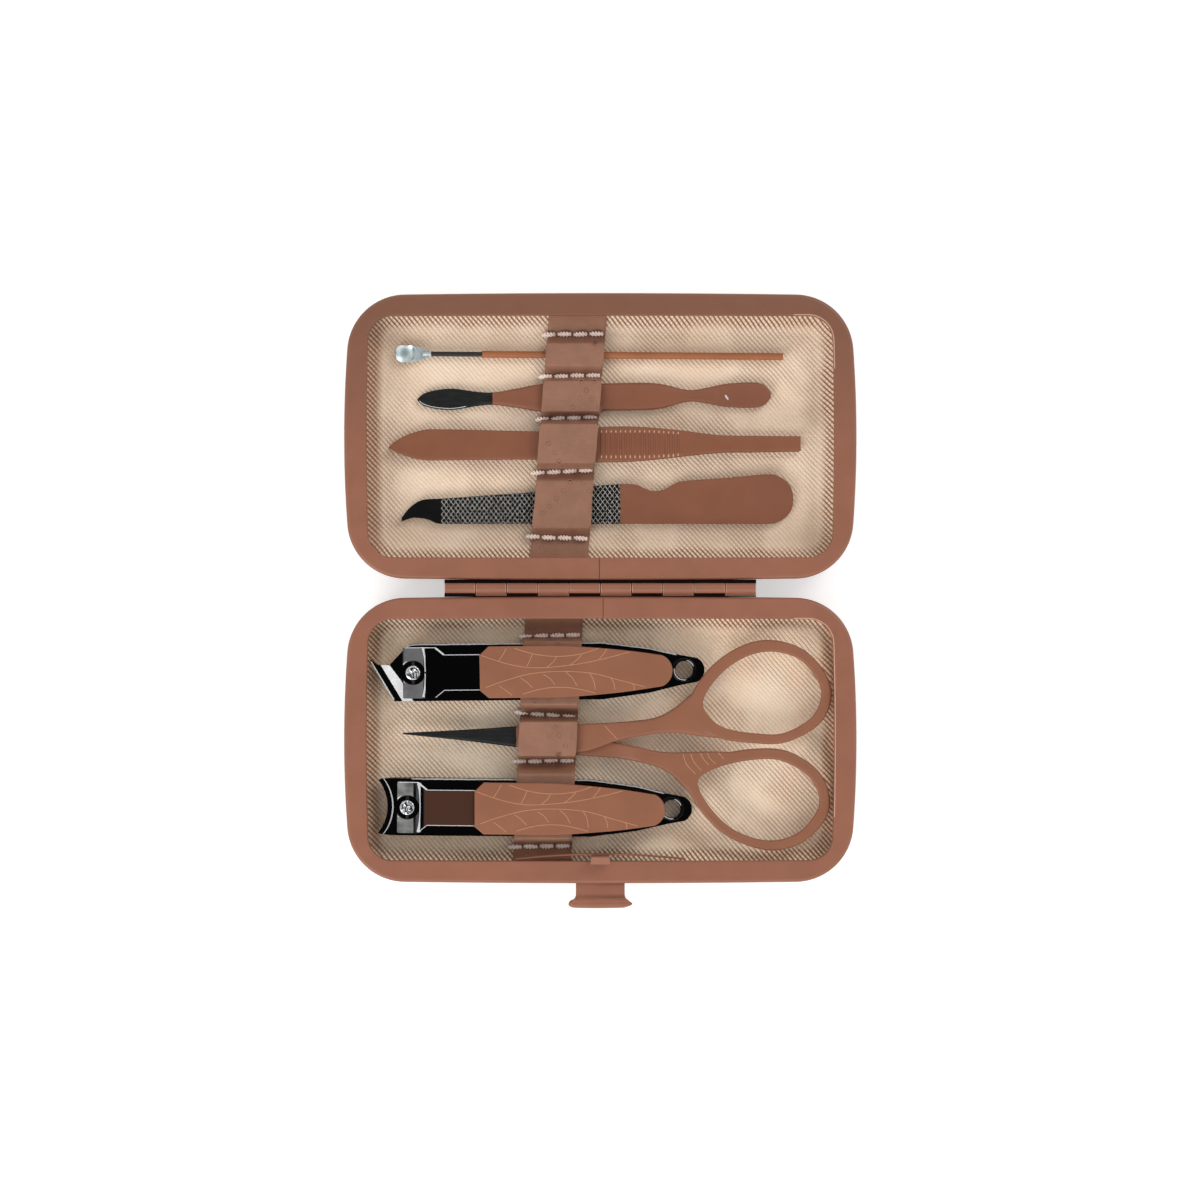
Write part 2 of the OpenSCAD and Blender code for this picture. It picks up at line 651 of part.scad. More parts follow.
// Side of the lever from its rocker head, which bends down round the cross pin, to its tail
function lever_side(tail_x) = [[-2.2, 0.3], [-2.2, -0.1], [-1.5, -0.4], [0, -0.55], [1.6, -0.45],
    [2.7, 0], [tail_x, 0], [tail_x, lever_t], [3.2, lever_t], [2.5, 1], [1.9, 0.75], [0.8, 0.65],
    [-1, 0.62], [-1.8, 0.5]];
module clipper_lever(post_x, shoulder_x, tail_x) {
    stem = stem_w / 2;
    head = head_w / 2;
    color(gunmetal)
        difference() {
            intersection() {
                translate([post_x, 0, lever_z])
                    arm_plate(lever_side(tail_x), 10);
                translate([0, 0, lever_z - 2])
                    linear_extrude(6)
                        polygon(concat(
                            [[post_x - 3, -head + 1], [post_x - 2, -head], [shoulder_x - 1.8, -head],
                                [shoulder_x, -stem], [tail_x - 20, -stem]],
                            arc_points([tail_x - 3.6, 0], 3.1, -90, 90, 12),
                            [[tail_x - 20, stem], [shoulder_x, stem], [shoulder_x - 1.8, head],
                                [post_x - 2, head], [post_x - 3, head - 1]]));
            }
            translate([post_x, 0, lever_z - 3])
                cylinder(r = head_hole_r, h = 8, $fn = 48);
            translate([post_x, cross_pin_l / 2 + run, pivot_z])
                rotate([90, 0, 0])
                    cylinder(r = cross_pin_r + run, h = cross_pin_l + 2 * run, $fn = 32);
        }
}

grip_h = 0.8;
module clipper_grip(grip_x, tail_x) {
    w = grip_w / 2;
    color(paint)
        translate([0, 0, lever_z + lever_t])
            bevelled(concat(
                [[grip_x + 2, -w], [grip_x + 12, -w], [tail_x - 22, -w + 0.1], [tail_x - 11, -w + 1]],
                arc_points([tail_x - 3.6, 0], 3.6, -68, 68, 8),
                [[tail_x - 11, w - 1], [tail_x - 22, w - 0.1], [grip_x + 12, w], [grip_x + 2, w],
                    [grip_x, w - 1.9], [grip_x + 0.1, -w + 1.6]]), grip_h, 0.25);
}

toenail_place = [-49.7, 14.3, 0.52];
toenail_post_x = 9.55;
toenail_shoulder_x = 16.2;
toenail_grip_x = 23.8;
toenail_tail_x = 65.2;
toenail_jaw = [[8.8, 6.15], [7.8, 5.3], [4.3, 1.65], [1.9, 1.75], [0, 3], [5.4, -6.15]];
module toenail() {
    translate([toenail_place[0], toenail_place[1], tool_z])
        rotate(toenail_place[2])
            children();
}

fingernail_place = [-48.1, -14.4, -0.6];
fingernail_post_x = 6.7;
fingernail_shoulder_x = 10.9;
fingernail_grip_x = 21.1;
fingernail_tail_x = 62;
fingernail_jaw = [[3, 6.15], [0.6, 5.9], [0, 5.2], [0, -5.2], [0.6, -5.9], [3, -6.15]];
fingernail_edge_r = 9;               // the jaw's hollow edge follows a fingertip
module fingernail() {
    translate([fingernail_place[0], fingernail_place[1], tool_z])
        rotate(fingernail_place[2])
            children();
}

module fingernail_edge_cut() {
    translate([2.3 - fingernail_edge_r, 0, -2])
        cylinder(r = fingernail_edge_r, h = 16, $fn = 96);
}

// ---- scissors: drawn in the plan of the open case, then tilted about the pivot ----
pivot = [-9.5, 0.2];
scissor_tilt = 1.8;
scissor_z = tool_z + 3.15;
part_gap = 0.03;                    // half the play between the two halves
screw_foot = 0.15;
screw_head_t = 0.45;
module scissors() {
    translate([pivot[0], pivot[1], scissor_z])
        rotate([0, -scissor_tilt, 0])
            translate([-pivot[0], -pivot[1], 0])
                children();
}

blade_z = blade_t + part_gap;       // outer face of a blade above or below the parting plane
ring_z = ring_t / 2;
// Stations of each half from its point to its ring: [x, upper y, lower y, lower z, upper z]
upper_bar = [[-42.6, 1.35, 1.05, part_gap, 0.4], [-30, 2.0, -0.1, part_gap, 0.9],
    [-18, 2.8, -1.6, part_gap, blade_z], [-12, 3.0, -2.6, part_gap, blade_z],
    [-7, 3.2, -3.0, part_gap, blade_z], [-2, 3.4, -2.3, part_gap, blade_z],
    [3.3, 3.7, -0.4, part_gap, blade_z], [7.5, 4.0, 0.5, -ring_z, ring_z], [12.2, 4.8, 1.2, -ring_z, ring_z],
    [16, 6.8, 1.5, -ring_z, ring_z], [19.4, 9.6, 2.6, -ring_z, ring_z], [21.6, 11.4, 4.4, -ring_z, ring_z]];
lower_bar = [[-42.6, 1.3, 1.0, -0.4, -part_gap], [-30, 1.8, -0.3, -0.9, -part_gap],
    [-18, 2.4, -1.8, -blade_z, -part_gap], [-12, 2.6, -2.8, -blade_z, -part_gap],
    [-7, 2.4, -3.3, -blade_z, -part_gap], [-2, 1.4, -3.7, -blade_z, -part_gap],
    [3.3, -0.7, -4.1, -blade_z, -part_gap], [7.5, -1.5, -4.7, -ring_z, ring_z],
    [12, -2.5, -5.9, -ring_z, ring_z], [15.4, -3.1, -7.7, -ring_z, ring_z],
    [18.3, -4.6, -10.6, -ring_z, ring_z], [20.3, -6.6, -12.4, -ring_z, ring_z]];
upper_ring_out = [[20.3, 3.5], [25.5, 0.3], [33, -0.8], [40, -0.6], [47, 3.2], [49.7, 8.5], [48.8, 13.6],
    [44, 19.2], [37, 21.4], [30.5, 20.2], [24, 15.8], [19.4, 9]];
upper_ring_in = [[23.4, 4.9], [27, 2.4], [33.5, 1.3], [39.5, 1.4], [45.3, 4.6], [47.5, 9], [46.8, 12.5],
    [43, 17.1], [37, 18.9], [31, 17.6], [25.5, 13.6], [22.2, 8.4]];
lower_ring_out = [[18.8, -9.2], [21, -14.5], [27, -20.6], [35.7, -23.8], [43, -22.4], [48.2, -17.5],
    [49.4, -12.6], [47.3, -7.2], [42, -3.2], [36.5, -1.9], [28, -2.7], [21.5, -5.2]];
lower_ring_in = [[21, -9.4], [23.3, -14.2], [28.5, -19.3], [35.7, -21.7], [42, -20.4], [46.1, -16.3],
    [47.1, -12.6], [45.2, -8.4], [41, -5.4], [36.3, -4.2], [29, -5], [23.3, -6.9]];
ring_edge = 0.5;                    // rounding of a finger ring's inner edges
module finger_ring(out, inn) {
    hole = ring_spline(inn, 3);
    wide = inset_points(hole, -ring_edge);
    translate([0, 0, -ring_z])
        difference() {
            bevelled(ring_spline(out, 3), ring_t, 0.55);
            loft([lift(wide, -eps), lift(hole, ring_edge), lift(hole, ring_t - ring_edge),
                lift(wide, ring_t + eps)]);
        }
}

module scissor_half(stations, out, inn, hole_r) {
    difference() {
        union() {
            bar(stations, 2, 12, 0.4);
            finger_ring(out, inn);
        }
        translate([pivot[0], pivot[1], -5])
            cylinder(r = hole_r, h = 10, $fn = 48);
        translate([0, 0, -3])
            loft([lift(ring_spline(inn, 3), 0), lift(ring_spline(inn, 3), 6)]);
    }
}

// ---- nodes ----
module tray_cover() {
    color(leather)
        difference() {
            cover();
            catch_slots();
        }
}

module tray_shell() {
    color(board)
        difference() {
            shell();
            catch_slots();
        }
}

module tray_frame() {
    color(paint)
        difference() {
            frame(tray_seam_x);
            catch_slots();
        }
}

module tray_lining() {
    color(lining_tan)
        lining();
}

module tray_strap() {
    color(leather)
        strap(tray_strap_x, tray_strap_slant, tray_rows, tray_loops);
}

module lid_cover() {
    color(leather)
        on_lid()
            cover();
}

module lid_shell() {
    color(board)
        on_lid()
            shell();
}

module lid_frame() {
    color(paint)
        on_lid()
            frame(lid_seam_x);
}

module lid_lining() {
    color(lining_tan)
        on_lid()
            lining();
}

module lid_strap() {
    color(leather)
        on_lid()
            strap(lid_strap_x, -lid_strap_slant, lid_rows, lid_loops);
}

module hinge_tray_leaf() {
    color(paint)
        leaf(1);
}

module hinge_lid_leaf() {
    color(paint)
        on_lid()
            leaf(0);
}

module hinge_pin() {
    color(steel)
        translate([-hinge_l / 2 + slip, hinge_y, hinge_z])
            rotate([0, 90, 0])
                cylinder(r = pin_r, h = hinge_l - 2 * slip, $fn = 36);
}

module toenail_lower_arm() {
    color(gunmetal)
        toenail()
            arm(toenail_l, toenail_post_x, arm_low(toenail_l), toenail_jaw, post_r + run);
}

module toenail_upper_arm() {
    color(gunmetal)
        toenail()
            arm(toenail_l, toenail_post_x, arm_high(toenail_l), toenail_jaw, post_r + post_play);
}

module toenail_post() {
    toenail()
        clipper_post(toenail_post_x);
}

module toenail_cross_pin() {
    toenail()
        clipper_cross_pin(toenail_post_x);
}

module toenail_rivet() {
    toenail()
        clipper_rivet(toenail_l);
}

module toenail_lever() {
    toenail()
        clipper_lever(toenail_post_x, toenail_shoulder_x, toenail_tail_x);
}

module toenail_grip() {
    toenail()
        clipper_grip(toenail_grip_x, toenail_tail_x);
}

module fingernail_lower_arm() {
    color(gunmetal)
        fingernail()
            arm(fingernail_l, fingernail_post_x, arm_low(fingernail_l), fingernail_jaw, post_r + run)
                fingernail_edge_cut();
}

module fingernail_upper_arm() {
    color(gunmetal)
        fingernail()
            arm(fingernail_l, fingernail_post_x, arm_high(fingernail_l), fingernail_jaw, post_r + post_play)
                fingernail_edge_cut();
}

module fingernail_post() {
    fingernail()
        clipper_post(fingernail_post_x);
}

module fingernail_cross_pin() {
    fingernail()
        clipper_cross_pin(fingernail_post_x);
}

module fingernail_rivet() {
    fingernail()
        clipper_rivet(fingernail_l);
}

module fingernail_lever() {
    fingernail()
        clipper_lever(fingernail_post_x, fingernail_shoulder_x, fingernail_tail_x);
}

module fingernail_grip() {
    fingernail()
        clipper_grip(fingernail_grip_x, fingernail_tail_x);
}

module scissors_lower_half() {
    color(paint)
        scissors()
            scissor_half(lower_bar, lower_ring_out, lower_ring_in, screw_r + run);
}

module scissors_upper_half() {
    color(paint)
        scissors()
            scissor_half(upper_bar, upper_ring_out, upper_ring_in, screw_r + run);
}

module scissors_screw() {
    color(steel)
        scissors()
            translate([pivot[0], pivot[1], -blade_z - screw_foot]) {
                cylinder(r = screw_r, h = 2 * blade_z + 2 * screw_foot, $fn = 48);
                translate([0, 0, 2 * blade_z + screw_foot + run])
                    cylinder(r = screw_r + 0.8, h = screw_head_t, $fn = 48);
            }
}

tray_cover();
tray_shell();
tray_frame();
tray_lining();
tray_strap();
lid_cover();
lid_shell();
lid_frame();
lid_lining();
lid_strap();
hinge_tray_leaf();
hinge_lid_leaf();
hinge_pin();
catch_tab();
catch_spring();
ear_pick();
cuticle_pusher();
tweezers_lower_arm();
tweezers_upper_arm();
nail_file();
toenail_lower_arm();
toenail_upper_arm();
toenail_post();
toenail_cross_pin();
toenail_rivet();
toenail_lever();
toenail_grip();
fingernail_lower_arm();
fingernail_upper_arm();
fingernail_post();
fingernail_cross_pin();
fingernail_rivet();
fingernail_lever();
fingernail_grip();
scissors_lower_half();
scissors_upper_half();
scissors_screw();
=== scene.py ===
"""Manicure set in a framed hard case, lying open flat, seen from straight above.

Points are in millimetres in the open case's frame: X along the hinge, Y from tray to lid, Z up. What belongs to the
lid's case half is drawn over the tray and mirrored across the hinge.
"""
import math
import random
from contextlib import contextmanager

import bmesh
import bpy
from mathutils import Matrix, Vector, noise
from mathutils.bvhtree import BVHTree


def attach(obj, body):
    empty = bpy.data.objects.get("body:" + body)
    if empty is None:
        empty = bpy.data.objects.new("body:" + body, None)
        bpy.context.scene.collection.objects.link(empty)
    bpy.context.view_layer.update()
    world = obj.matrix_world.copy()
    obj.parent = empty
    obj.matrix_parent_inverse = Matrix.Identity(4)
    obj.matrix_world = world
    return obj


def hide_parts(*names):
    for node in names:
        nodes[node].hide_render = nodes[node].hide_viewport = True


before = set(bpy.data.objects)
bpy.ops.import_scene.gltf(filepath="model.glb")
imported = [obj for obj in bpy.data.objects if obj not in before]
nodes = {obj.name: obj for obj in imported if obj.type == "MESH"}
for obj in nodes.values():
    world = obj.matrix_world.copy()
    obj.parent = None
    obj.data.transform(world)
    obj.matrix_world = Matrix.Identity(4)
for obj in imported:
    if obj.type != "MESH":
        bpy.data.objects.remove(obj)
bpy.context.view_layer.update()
scene = bpy.context.scene
MM = 0.001
HALVES = ("tray", "lid")
random.seed(7)


# ---- materials ----
def rgb(*color):
    """A colour of 0 to 255 as Blender's linear numbers."""
    shares = (v / 255 for v in color)
    return tuple(c / 12.92 if c <= 0.04045 else ((c + 0.055) / 1.055) ** 2.4 for c in shares) + (1,)


def scaled(color, by):
    return tuple(min(1, c * by) for c in color[:3]) + (1,)


class Graph:
    """A small helper round a node tree, where plain values and outputs go in alike."""

    def __init__(self, tree):
        self.tree = tree

    def feed(self, socket, value):
        if isinstance(value, (int, float, tuple)):
            socket.default_value = value
        elif value is not None:
            self.tree.links.new(value, socket)

    def add(self, kind, output=0, settings=None, **inputs):
        """Adds a node and returns one of its outputs; in input names an underscore stands for a space."""
        made = self.tree.nodes.new("ShaderNode" + kind)
        for key, value in (settings or {}).items():
            setattr(made, key, value)
        for key, value in inputs.items():
            self.feed(made.inputs[key.replace("_", " ")], value)
        return made.outputs[output]

    def numbered(self, kind, output, settings, inputs):
        """The same for nodes whose inputs share a name and go by number."""
        made = self.tree.nodes.new("ShaderNode" + kind)
        for key, value in settings.items():
            setattr(made, key, value)
        for index, value in inputs.items():
            self.feed(made.inputs[index], value)
        return made.outputs[output]

    def math(self, operation, *values):
        return self.numbered("Math", 0, {"operation": operation}, dict(enumerate(values)))

    def times(self, a, b):
        return self.math("MULTIPLY", a, b)

    def plus(self, a, b):
        return self.math("ADD", a, b)

    def minus(self, a, b):
        return self.math("SUBTRACT", a, b)

    def mix(self, factor, a, b):
        return self.numbered("Mix", 2, {"data_type": "RGBA"}, {0: factor, 6: a, 7: b})

    def pick(self, factor, a, b):
        return self.numbered("Mix", 0, {"data_type": "FLOAT"}, {0: factor, 2: a, 3: b})

    def ramp(self, source, low, high, to_low=0.0, to_high=1.0, kind="SMOOTHSTEP"):
        return self.add("MapRange", 0, {"interpolation_type": kind}, Value=source, From_Min=low, From_Max=high,
                        To_Min=to_low, To_Max=to_high)


class Material(Graph):
    """One surface, laid out over the open case; its x and y are in metres."""

    def __init__(self, name, color, roughness, metallic=0.0, **sockets):
        self.material = bpy.data.materials.new(name)
        self.material.use_nodes = True
        super().__init__(self.material.node_tree)
        self.shader = self.tree.nodes["Principled BSDF"]
        self.set(Base_Color=color, Roughness=roughness, Metallic=metallic, **sockets)
        self.place = self.add("TexCoord", "Object")
        self.x = self.add("SeparateXYZ", "X", Vector=self.place)
        self.y = self.add("SeparateXYZ", "Y", Vector=self.place)

    def set(self, **sockets):
        for key, value in sockets.items():
            self.feed(self.shader.inputs[key.replace("_", " ")], value)

    def noise(self, scale, detail=4.0, stretch=(1, 1, 1)):
        """Noise, with scale in features a metre."""
        place = self.add("Mapping", Scale=stretch, Vector=self.place)
        return self.add("TexNoise", "Fac", Scale=scale, Detail=detail, Roughness=0.55, Vector=place)

    def stripes(self, across, along, drift=None):
        """A wave from 0 to 0.5 with so many stripes a metre in X and in Y."""
        phase = self.plus(self.times(self.x, across), self.times(self.y, along))
        if drift is not None:
            phase = self.plus(phase, drift)
        return self.math("ABSOLUTE", self.minus(self.math("FRACT", phase), 0.5))

    def mottle(self, base, spread, scale, rough, rough_spread=0.05):
        """A soft mottle in the gloss, and in the colour that it returns."""
        gloss = self.ramp(self.noise(scale * 2.3, 6), 0.3, 0.7, rough - rough_spread, rough + rough_spread)
        self.set(Roughness=gloss)
        return self.mix(self.ramp(self.noise(scale, 5), 0.3, 0.7), scaled(base, 1 - spread), scaled(base, 1 + spread))

    def bump(self, *layers):
        """Each layer is (height from 0 to 1, depth in millimetres)."""
        normal = None
        for height, depth in layers:
            normal = self.add("Bump", Strength=1.0, Distance=depth * MM, Height=height, Normal=normal)
        self.set(Normal=normal)


def paint(name, color, rough, far_shade=None):
    """Matt paint; far_shade is the darker tone it reaches at the lid's outer end, a painted shade."""
    m = Material(name, color, rough, Specular_IOR_Level=0.35)
    tone = m.mottle(color, 0.05, 120, rough)
    if far_shade:
        tone = m.mix(m.ramp(m.y, 0.05, 0.097), tone, far_shade)
    m.set(Base_Color=tone)
    m.bump((m.noise(1500, 3), 0.008), (m.noise(5200, 2), 0.004))
    return m


def two_tone(name, color, black_end):
    """Paint with black metal up to an X position in millimetres."""
    m = Material(name, color, 0.45, Specular_IOR_Level=0.4)
    base = m.mottle(color, 0.05, 120, 0.46)
    wobble = m.times(m.minus(m.noise(900, 2), 0.5), 0.0003)
    mask = m.math("LESS_THAN", m.plus(m.x, wobble), black_end * MM)
    streak = m.ramp(m.noise(300, 5, (1, 14, 1)), 0.35, 0.7)
    m.set(Base_Color=m.mix(mask, base, m.mix(streak, rgb(26, 27, 28), rgb(38, 39, 40))), Metallic=m.times(mask, 0.5))
    m.bump((m.noise(1500, 3), 0.008))
    return m


def file_surface():
    """The nail file: a black hook, crossed file teeth, and a painted handle."""
    m = Material("file_teeth", TOOL, 0.45, Specular_IOR_Level=0.4)
    base = m.mottle(TOOL, 0.05, 120, 0.46)
    fade = m.times(m.minus(m.noise(2600, 3), 0.5), 0.0022)
    black = m.math("LESS_THAN", m.plus(m.x, fade), 4.3 * MM)
    toothed = m.times(black, m.math("GREATER_THAN", m.x, -34.4 * MM))
    across, along = 0.80 / (0.82 * MM), 0.60 / (0.82 * MM)
    fine = [m.times(m.ramp(m.stripes(across, turn * along), 0.36, 0.48), weight)
            for turn, weight in ((1, 1.0), (-1, 0.85))]
    lines = m.math("MAXIMUM", *fine)
    worn = m.ramp(m.noise(1700, 4), 0.32, 0.62, 0.12, 1.0)
    teeth = m.times(m.times(lines, toothed), worn)
    m.set(Base_Color=m.mix(black, base, m.mix(teeth, rgb(13, 13, 14), rgb(214, 211, 204))),
          Metallic=m.times(black, 0.6))
    m.bump((m.noise(1500, 3), 0.006), (m.times(lines, toothed), 0.07))
    return m


def lining_surface():
    """Embossed lining: sloping ridges crossed by finer ones, with painted shade in the grooves, deeper on steep slopes
    and in patches, and over slopes that face +X and the tray's wells; the tray's lining is painted paler, as painted
    light.
    """
    pale, groove_shade, shadow = rgb(250, 226, 200), rgb(122, 70, 42), rgb(140, 94, 64)
    m = Material("lining_emboss", pale, 0.5, Specular_IOR_Level=0.35)
    drift = m.times(m.noise(160, 2), 0.7)
    heights = []
    for angle, pitch in ((42, 0.79 * MM), (-45, 0.82 * MM)):
        turn = math.radians(angle)
        heights.append(m.ramp(m.stripes(math.cos(turn) / pitch, math.sin(turn) / pitch, drift), 0.03, 0.34))
    main, cross = heights
    relief = m.times(main, m.plus(m.times(cross, 0.34), 0.66))
    facing = m.add("NewGeometry", "Normal")
    steep = m.ramp(m.add("SeparateXYZ", "Z", Vector=facing), 0.6, 0.995, 1.0, 0.0)
    # Painted shade: the grooves darken, more on steep slopes and in random patches
    shade_patch = m.ramp(m.noise(62, 2), 0.46, 0.6, 0.0, 0.36)
    in_tray = m.ramp(m.y, 0.030, 0.031, 1.0, 0.0)
    depth = m.plus(m.plus(m.times(steep, 0.85), shade_patch), 0.1)
    shade = m.times(m.minus(1.0, relief), m.math("MINIMUM", depth, 1.0))
    # The tray's lining is painted paler and warmer than the lid's, as painted light
    dull = m.mix(in_tray, rgb(238, 211, 184), rgb(255, 226, 196))
    light = m.mix(in_tray, rgb(247, 223, 198), rgb(255, 234, 208))
    top = m.mix(m.ramp(m.noise(90, 4), 0.3, 0.7), dull, light)
    # Painted shade on slopes that face +X and in the tray's wells near both ends
    away_shade = m.ramp(m.add("SeparateXYZ", "X", Vector=facing), 0.12, 0.7, 0.0, 0.5)
    well_shade = m.times(in_tray, m.ramp(m.math("ABSOLUTE", m.x), 0.0455, 0.0515, 0.0, 0.6))
    m.set(Base_Color=m.mix(shade, m.mix(m.math("MAXIMUM", away_shade, well_shade), top, shadow), groove_shade))
    m.bump((relief, 0.11), (m.noise(4200, 3), 0.012))
    return m


def leather(name, color, rough, grain):
    m = Material(name, color, rough, Specular_IOR_Level=0.4)
    base = m.mottle(color, 0.07, 260, rough, 0.06)
    pores = m.ramp(m.add("TexVoronoi", "Distance", Scale=2600, Vector=m.place), 0.05, 0.5)
    m.set(Base_Color=m.mix(m.times(m.minus(1.0, pores), 0.35), base, scaled(color, 0.62)))
    m.bump((pores, 0.02 * grain), (m.noise(3000, 4), 0.02 * grain), (m.noise(500, 3), 0.05 * grain))
    return m


def metal(name, color, rough):
    m = Material(name, color, rough, 1.0)
    m.set(Roughness=m.ramp(m.noise(700, 5), 0.3, 0.7, rough * 0.7, rough * 1.4))
    m.bump((m.noise(260, 2), 0.006))
    return m


def light_from_any_side(name, color, metallic, rough):
    """A light material that stays light from any side, for painted highlights and reflections and for the engraved
    lines.
    """
    m = Material(name, color, rough, metallic)
    m.set(Base_Color=m.mottle(color, 0.05, 700, rough))
    m.bump((m.noise(2400, 2, (1, 6, 1)), 0.004))
    return m


def matt(name, color, rough, spread, scale, **sockets):
    m = Material(name, color, rough, **sockets)
    m.set(Base_Color=m.mottle(color, spread, scale, rough))
    return m


def lever_surface(name, saddle, saddle_sheen, stem=None, stem_reflection=None):
    """Black chrome with a satin grey saddle round the post and, if a stem is given, a brown stem, both painted
    reflections; saddle and stem are ranges of X in millimetres.
    """
    m = Material(name, BLACK_CHROME, 0.08, 1.0)

    def between(span, soft):
        start, end = (((edge - soft) * MM, (edge + soft) * MM) for edge in span)
        return m.times(m.ramp(m.x, *start), m.ramp(m.x, *end, 1.0, 0.0))

    on_saddle = between(saddle, 0.12)
    base, dull = BLACK_CHROME, on_saddle
    if stem:
        on_stem = between(stem, 0.35)
        base = m.mix(on_stem, BLACK_CHROME, stem_reflection)
        dull = m.math("MAXIMUM", on_saddle, on_stem)
    saddle_sheen_tone = m.mix(m.ramp(m.noise(420, 4), 0.3, 0.7), *saddle_sheen)
    # Less metal and more roughness where the painted reflections lie, so their colour shows
    m.set(Base_Color=m.mix(on_saddle, base, saddle_sheen_tone), Metallic=m.ramp(dull, 0.0, 1.0, 1.0, 0.4),
          Roughness=m.ramp(on_saddle, 0.0, 1.0, 0.08, 0.5))
    m.bump((m.noise(260, 2), 0.006))
    return m


def pick_surface():
    """The ear pick: bright spoon and flare, black neck, painted rod."""
    m = Material("pick_paint", TOOL, 0.4, Specular_IOR_Level=0.4)
    painted = m.math("GREATER_THAN", m.x, -25.5 * MM)
    bright = m.math("LESS_THAN", m.x, -36.6 * MM)
    base = m.mottle(rgb(160, 98, 62), 0.06, 200, 0.4)
    spoon = m.mix(m.ramp(m.noise(500, 3), 0.35, 0.65), rgb(176, 196, 200), rgb(222, 230, 232))
    m.set(Base_Color=m.mix(painted, m.mix(bright, rgb(40, 39, 41), spoon), base), Metallic=m.times(bright, 0.5),
          Roughness=m.ramp(bright, 0.0, 1.0, 0.4, 0.28))
    m.bump((m.noise(900, 3), 0.008))
    return m


TOOL, GRIP, BLACK_CHROME = rgb(132, 81, 57), rgb(142, 91, 66), rgb(74, 73, 76)
# The case paint darkens towards the lid's outer end as painted shade
case_paint = paint("case_paint", rgb(146, 95, 74), 0.42, rgb(126, 84, 65))
tool_paint = paint("tool_paint", TOOL, 0.46)
grip_paint = paint("grip_paint", GRIP, 0.46)
blade_paint = two_tone("scissor_paint", GRIP, -18.1)
pusher_paint = two_tone("pusher_paint", TOOL, -23.3)
file_paint = file_surface()
lining_pu = lining_surface()
pick_paint = pick_surface()
strap_leather = leather("strap_leather", rgb(145, 103, 82), 0.52, 1.0)
case_leather = leather("case_leather", rgb(130, 88, 70), 0.48, 1.4)
steel = metal("bright_steel", rgb(190, 193, 196), 0.16)
# Dark steel, also painted shade on the hinge pin
dark_steel_and_shade = metal("dark_steel_and_shade", rgb(58, 52, 50), 0.35)
black_chrome = metal("black_chrome", BLACK_CHROME, 0.07)
# Painted highlights and reflections on metal: lit edges, glints and the ground jaw band
highlight_metal = light_from_any_side("highlight_metal", rgb(238, 239, 241), 0.35, 0.25)
# Light paint for painted highlights on edges
highlight_paint = light_from_any_side("highlight_paint", rgb(206, 160, 138), 0.1, 0.4)
line_metal = light_from_any_side("engraved_line", rgb(206, 150, 114), 0.3, 0.35)
# Painted shadow for the hinge's gaps
hinge_shadow = matt("hinge_shadow", rgb(22, 10, 8), 0.85, 0.15, 900, Specular_IOR_Level=0.1)
# Painted shade for the floors of the punched holes
hole_shade = matt("hole_shade", rgb(60, 37, 29), 0.8, 0.15, 1500)
board = matt("board", rgb(150, 150, 150), 0.8, 0.06, 300)
thread = matt("thread", rgb(250, 232, 223), 0.75, 0.06, 900)
thread.bump((thread.noise(3500, 3), 0.05))
# The grey saddles, and the brown on the fingernail lever's stem, are painted reflections
toenail_chrome = lever_surface("toenail_chrome", (-42.1, -38.0), (rgb(92, 92, 95), rgb(108, 108, 110)))
fingernail_chrome = lever_surface("fingernail_chrome", (-43.6, -40.1), (rgb(84, 86, 86), rgb(140, 142, 140)),
                                  (-37.8, -27), rgb(92, 62, 51))


# ---- curves of the case, the same as in the CAD source ----
CASE_W, HALF_D, HALF_H, CORNER_R, BOW_END, BOW_SIDE = 110.0, 61.6, 11.5, 12.5, 0.65, 0.3
RAIL, RAIL_T, WALL_H, WALL_T, LIP_H, LIP_T, OPEN_R = 4.8, 0.8, 3.4, 0.5, 2.0, 0.6, 5.3
OPEN_D = HALF_D - 2 * RAIL
OUTER = (CASE_W, HALF_D, CORNER_R, BOW_END, BOW_SIDE)
OPENING = (CASE_W - 2 * RAIL, OPEN_D, OPEN_R, 0.3, 0.1)
COVER_INSET, COVER_T, COVER_R, SHELL_T = 0.6, 0.9, 3.5, 0.7
WALL_TOP = HALF_H - RAIL_T - 0.1
FLOOR_Z, CROWN_H, RIM_Z, SLOPE_W, TUCK = 3.6, 0.2, 9.1, 5.4, 1.4
LINING_INSET, LINING_Z, RIM_W = 2.35, 1.7, 0.35
LIP_Z = HALF_H - LIP_H
HINGE_Y, HINGE_Z = 32.55, 11.6
TOOL_Z = 4.1
STRAP_Z, STRAP_T, STRAP_W, STRAP_LIFT = 3.95, 0.8, 12.5, 0.25


def turns(n, full=2 * math.pi):
    """n angles round a circle, or round a share of it."""
    return [full * k / n for k in range(n)]


def quarter(n):
    """Angles from 0 to 90 degrees in n steps."""
    return [math.radians(90 * k / n) for k in range(n + 1)]


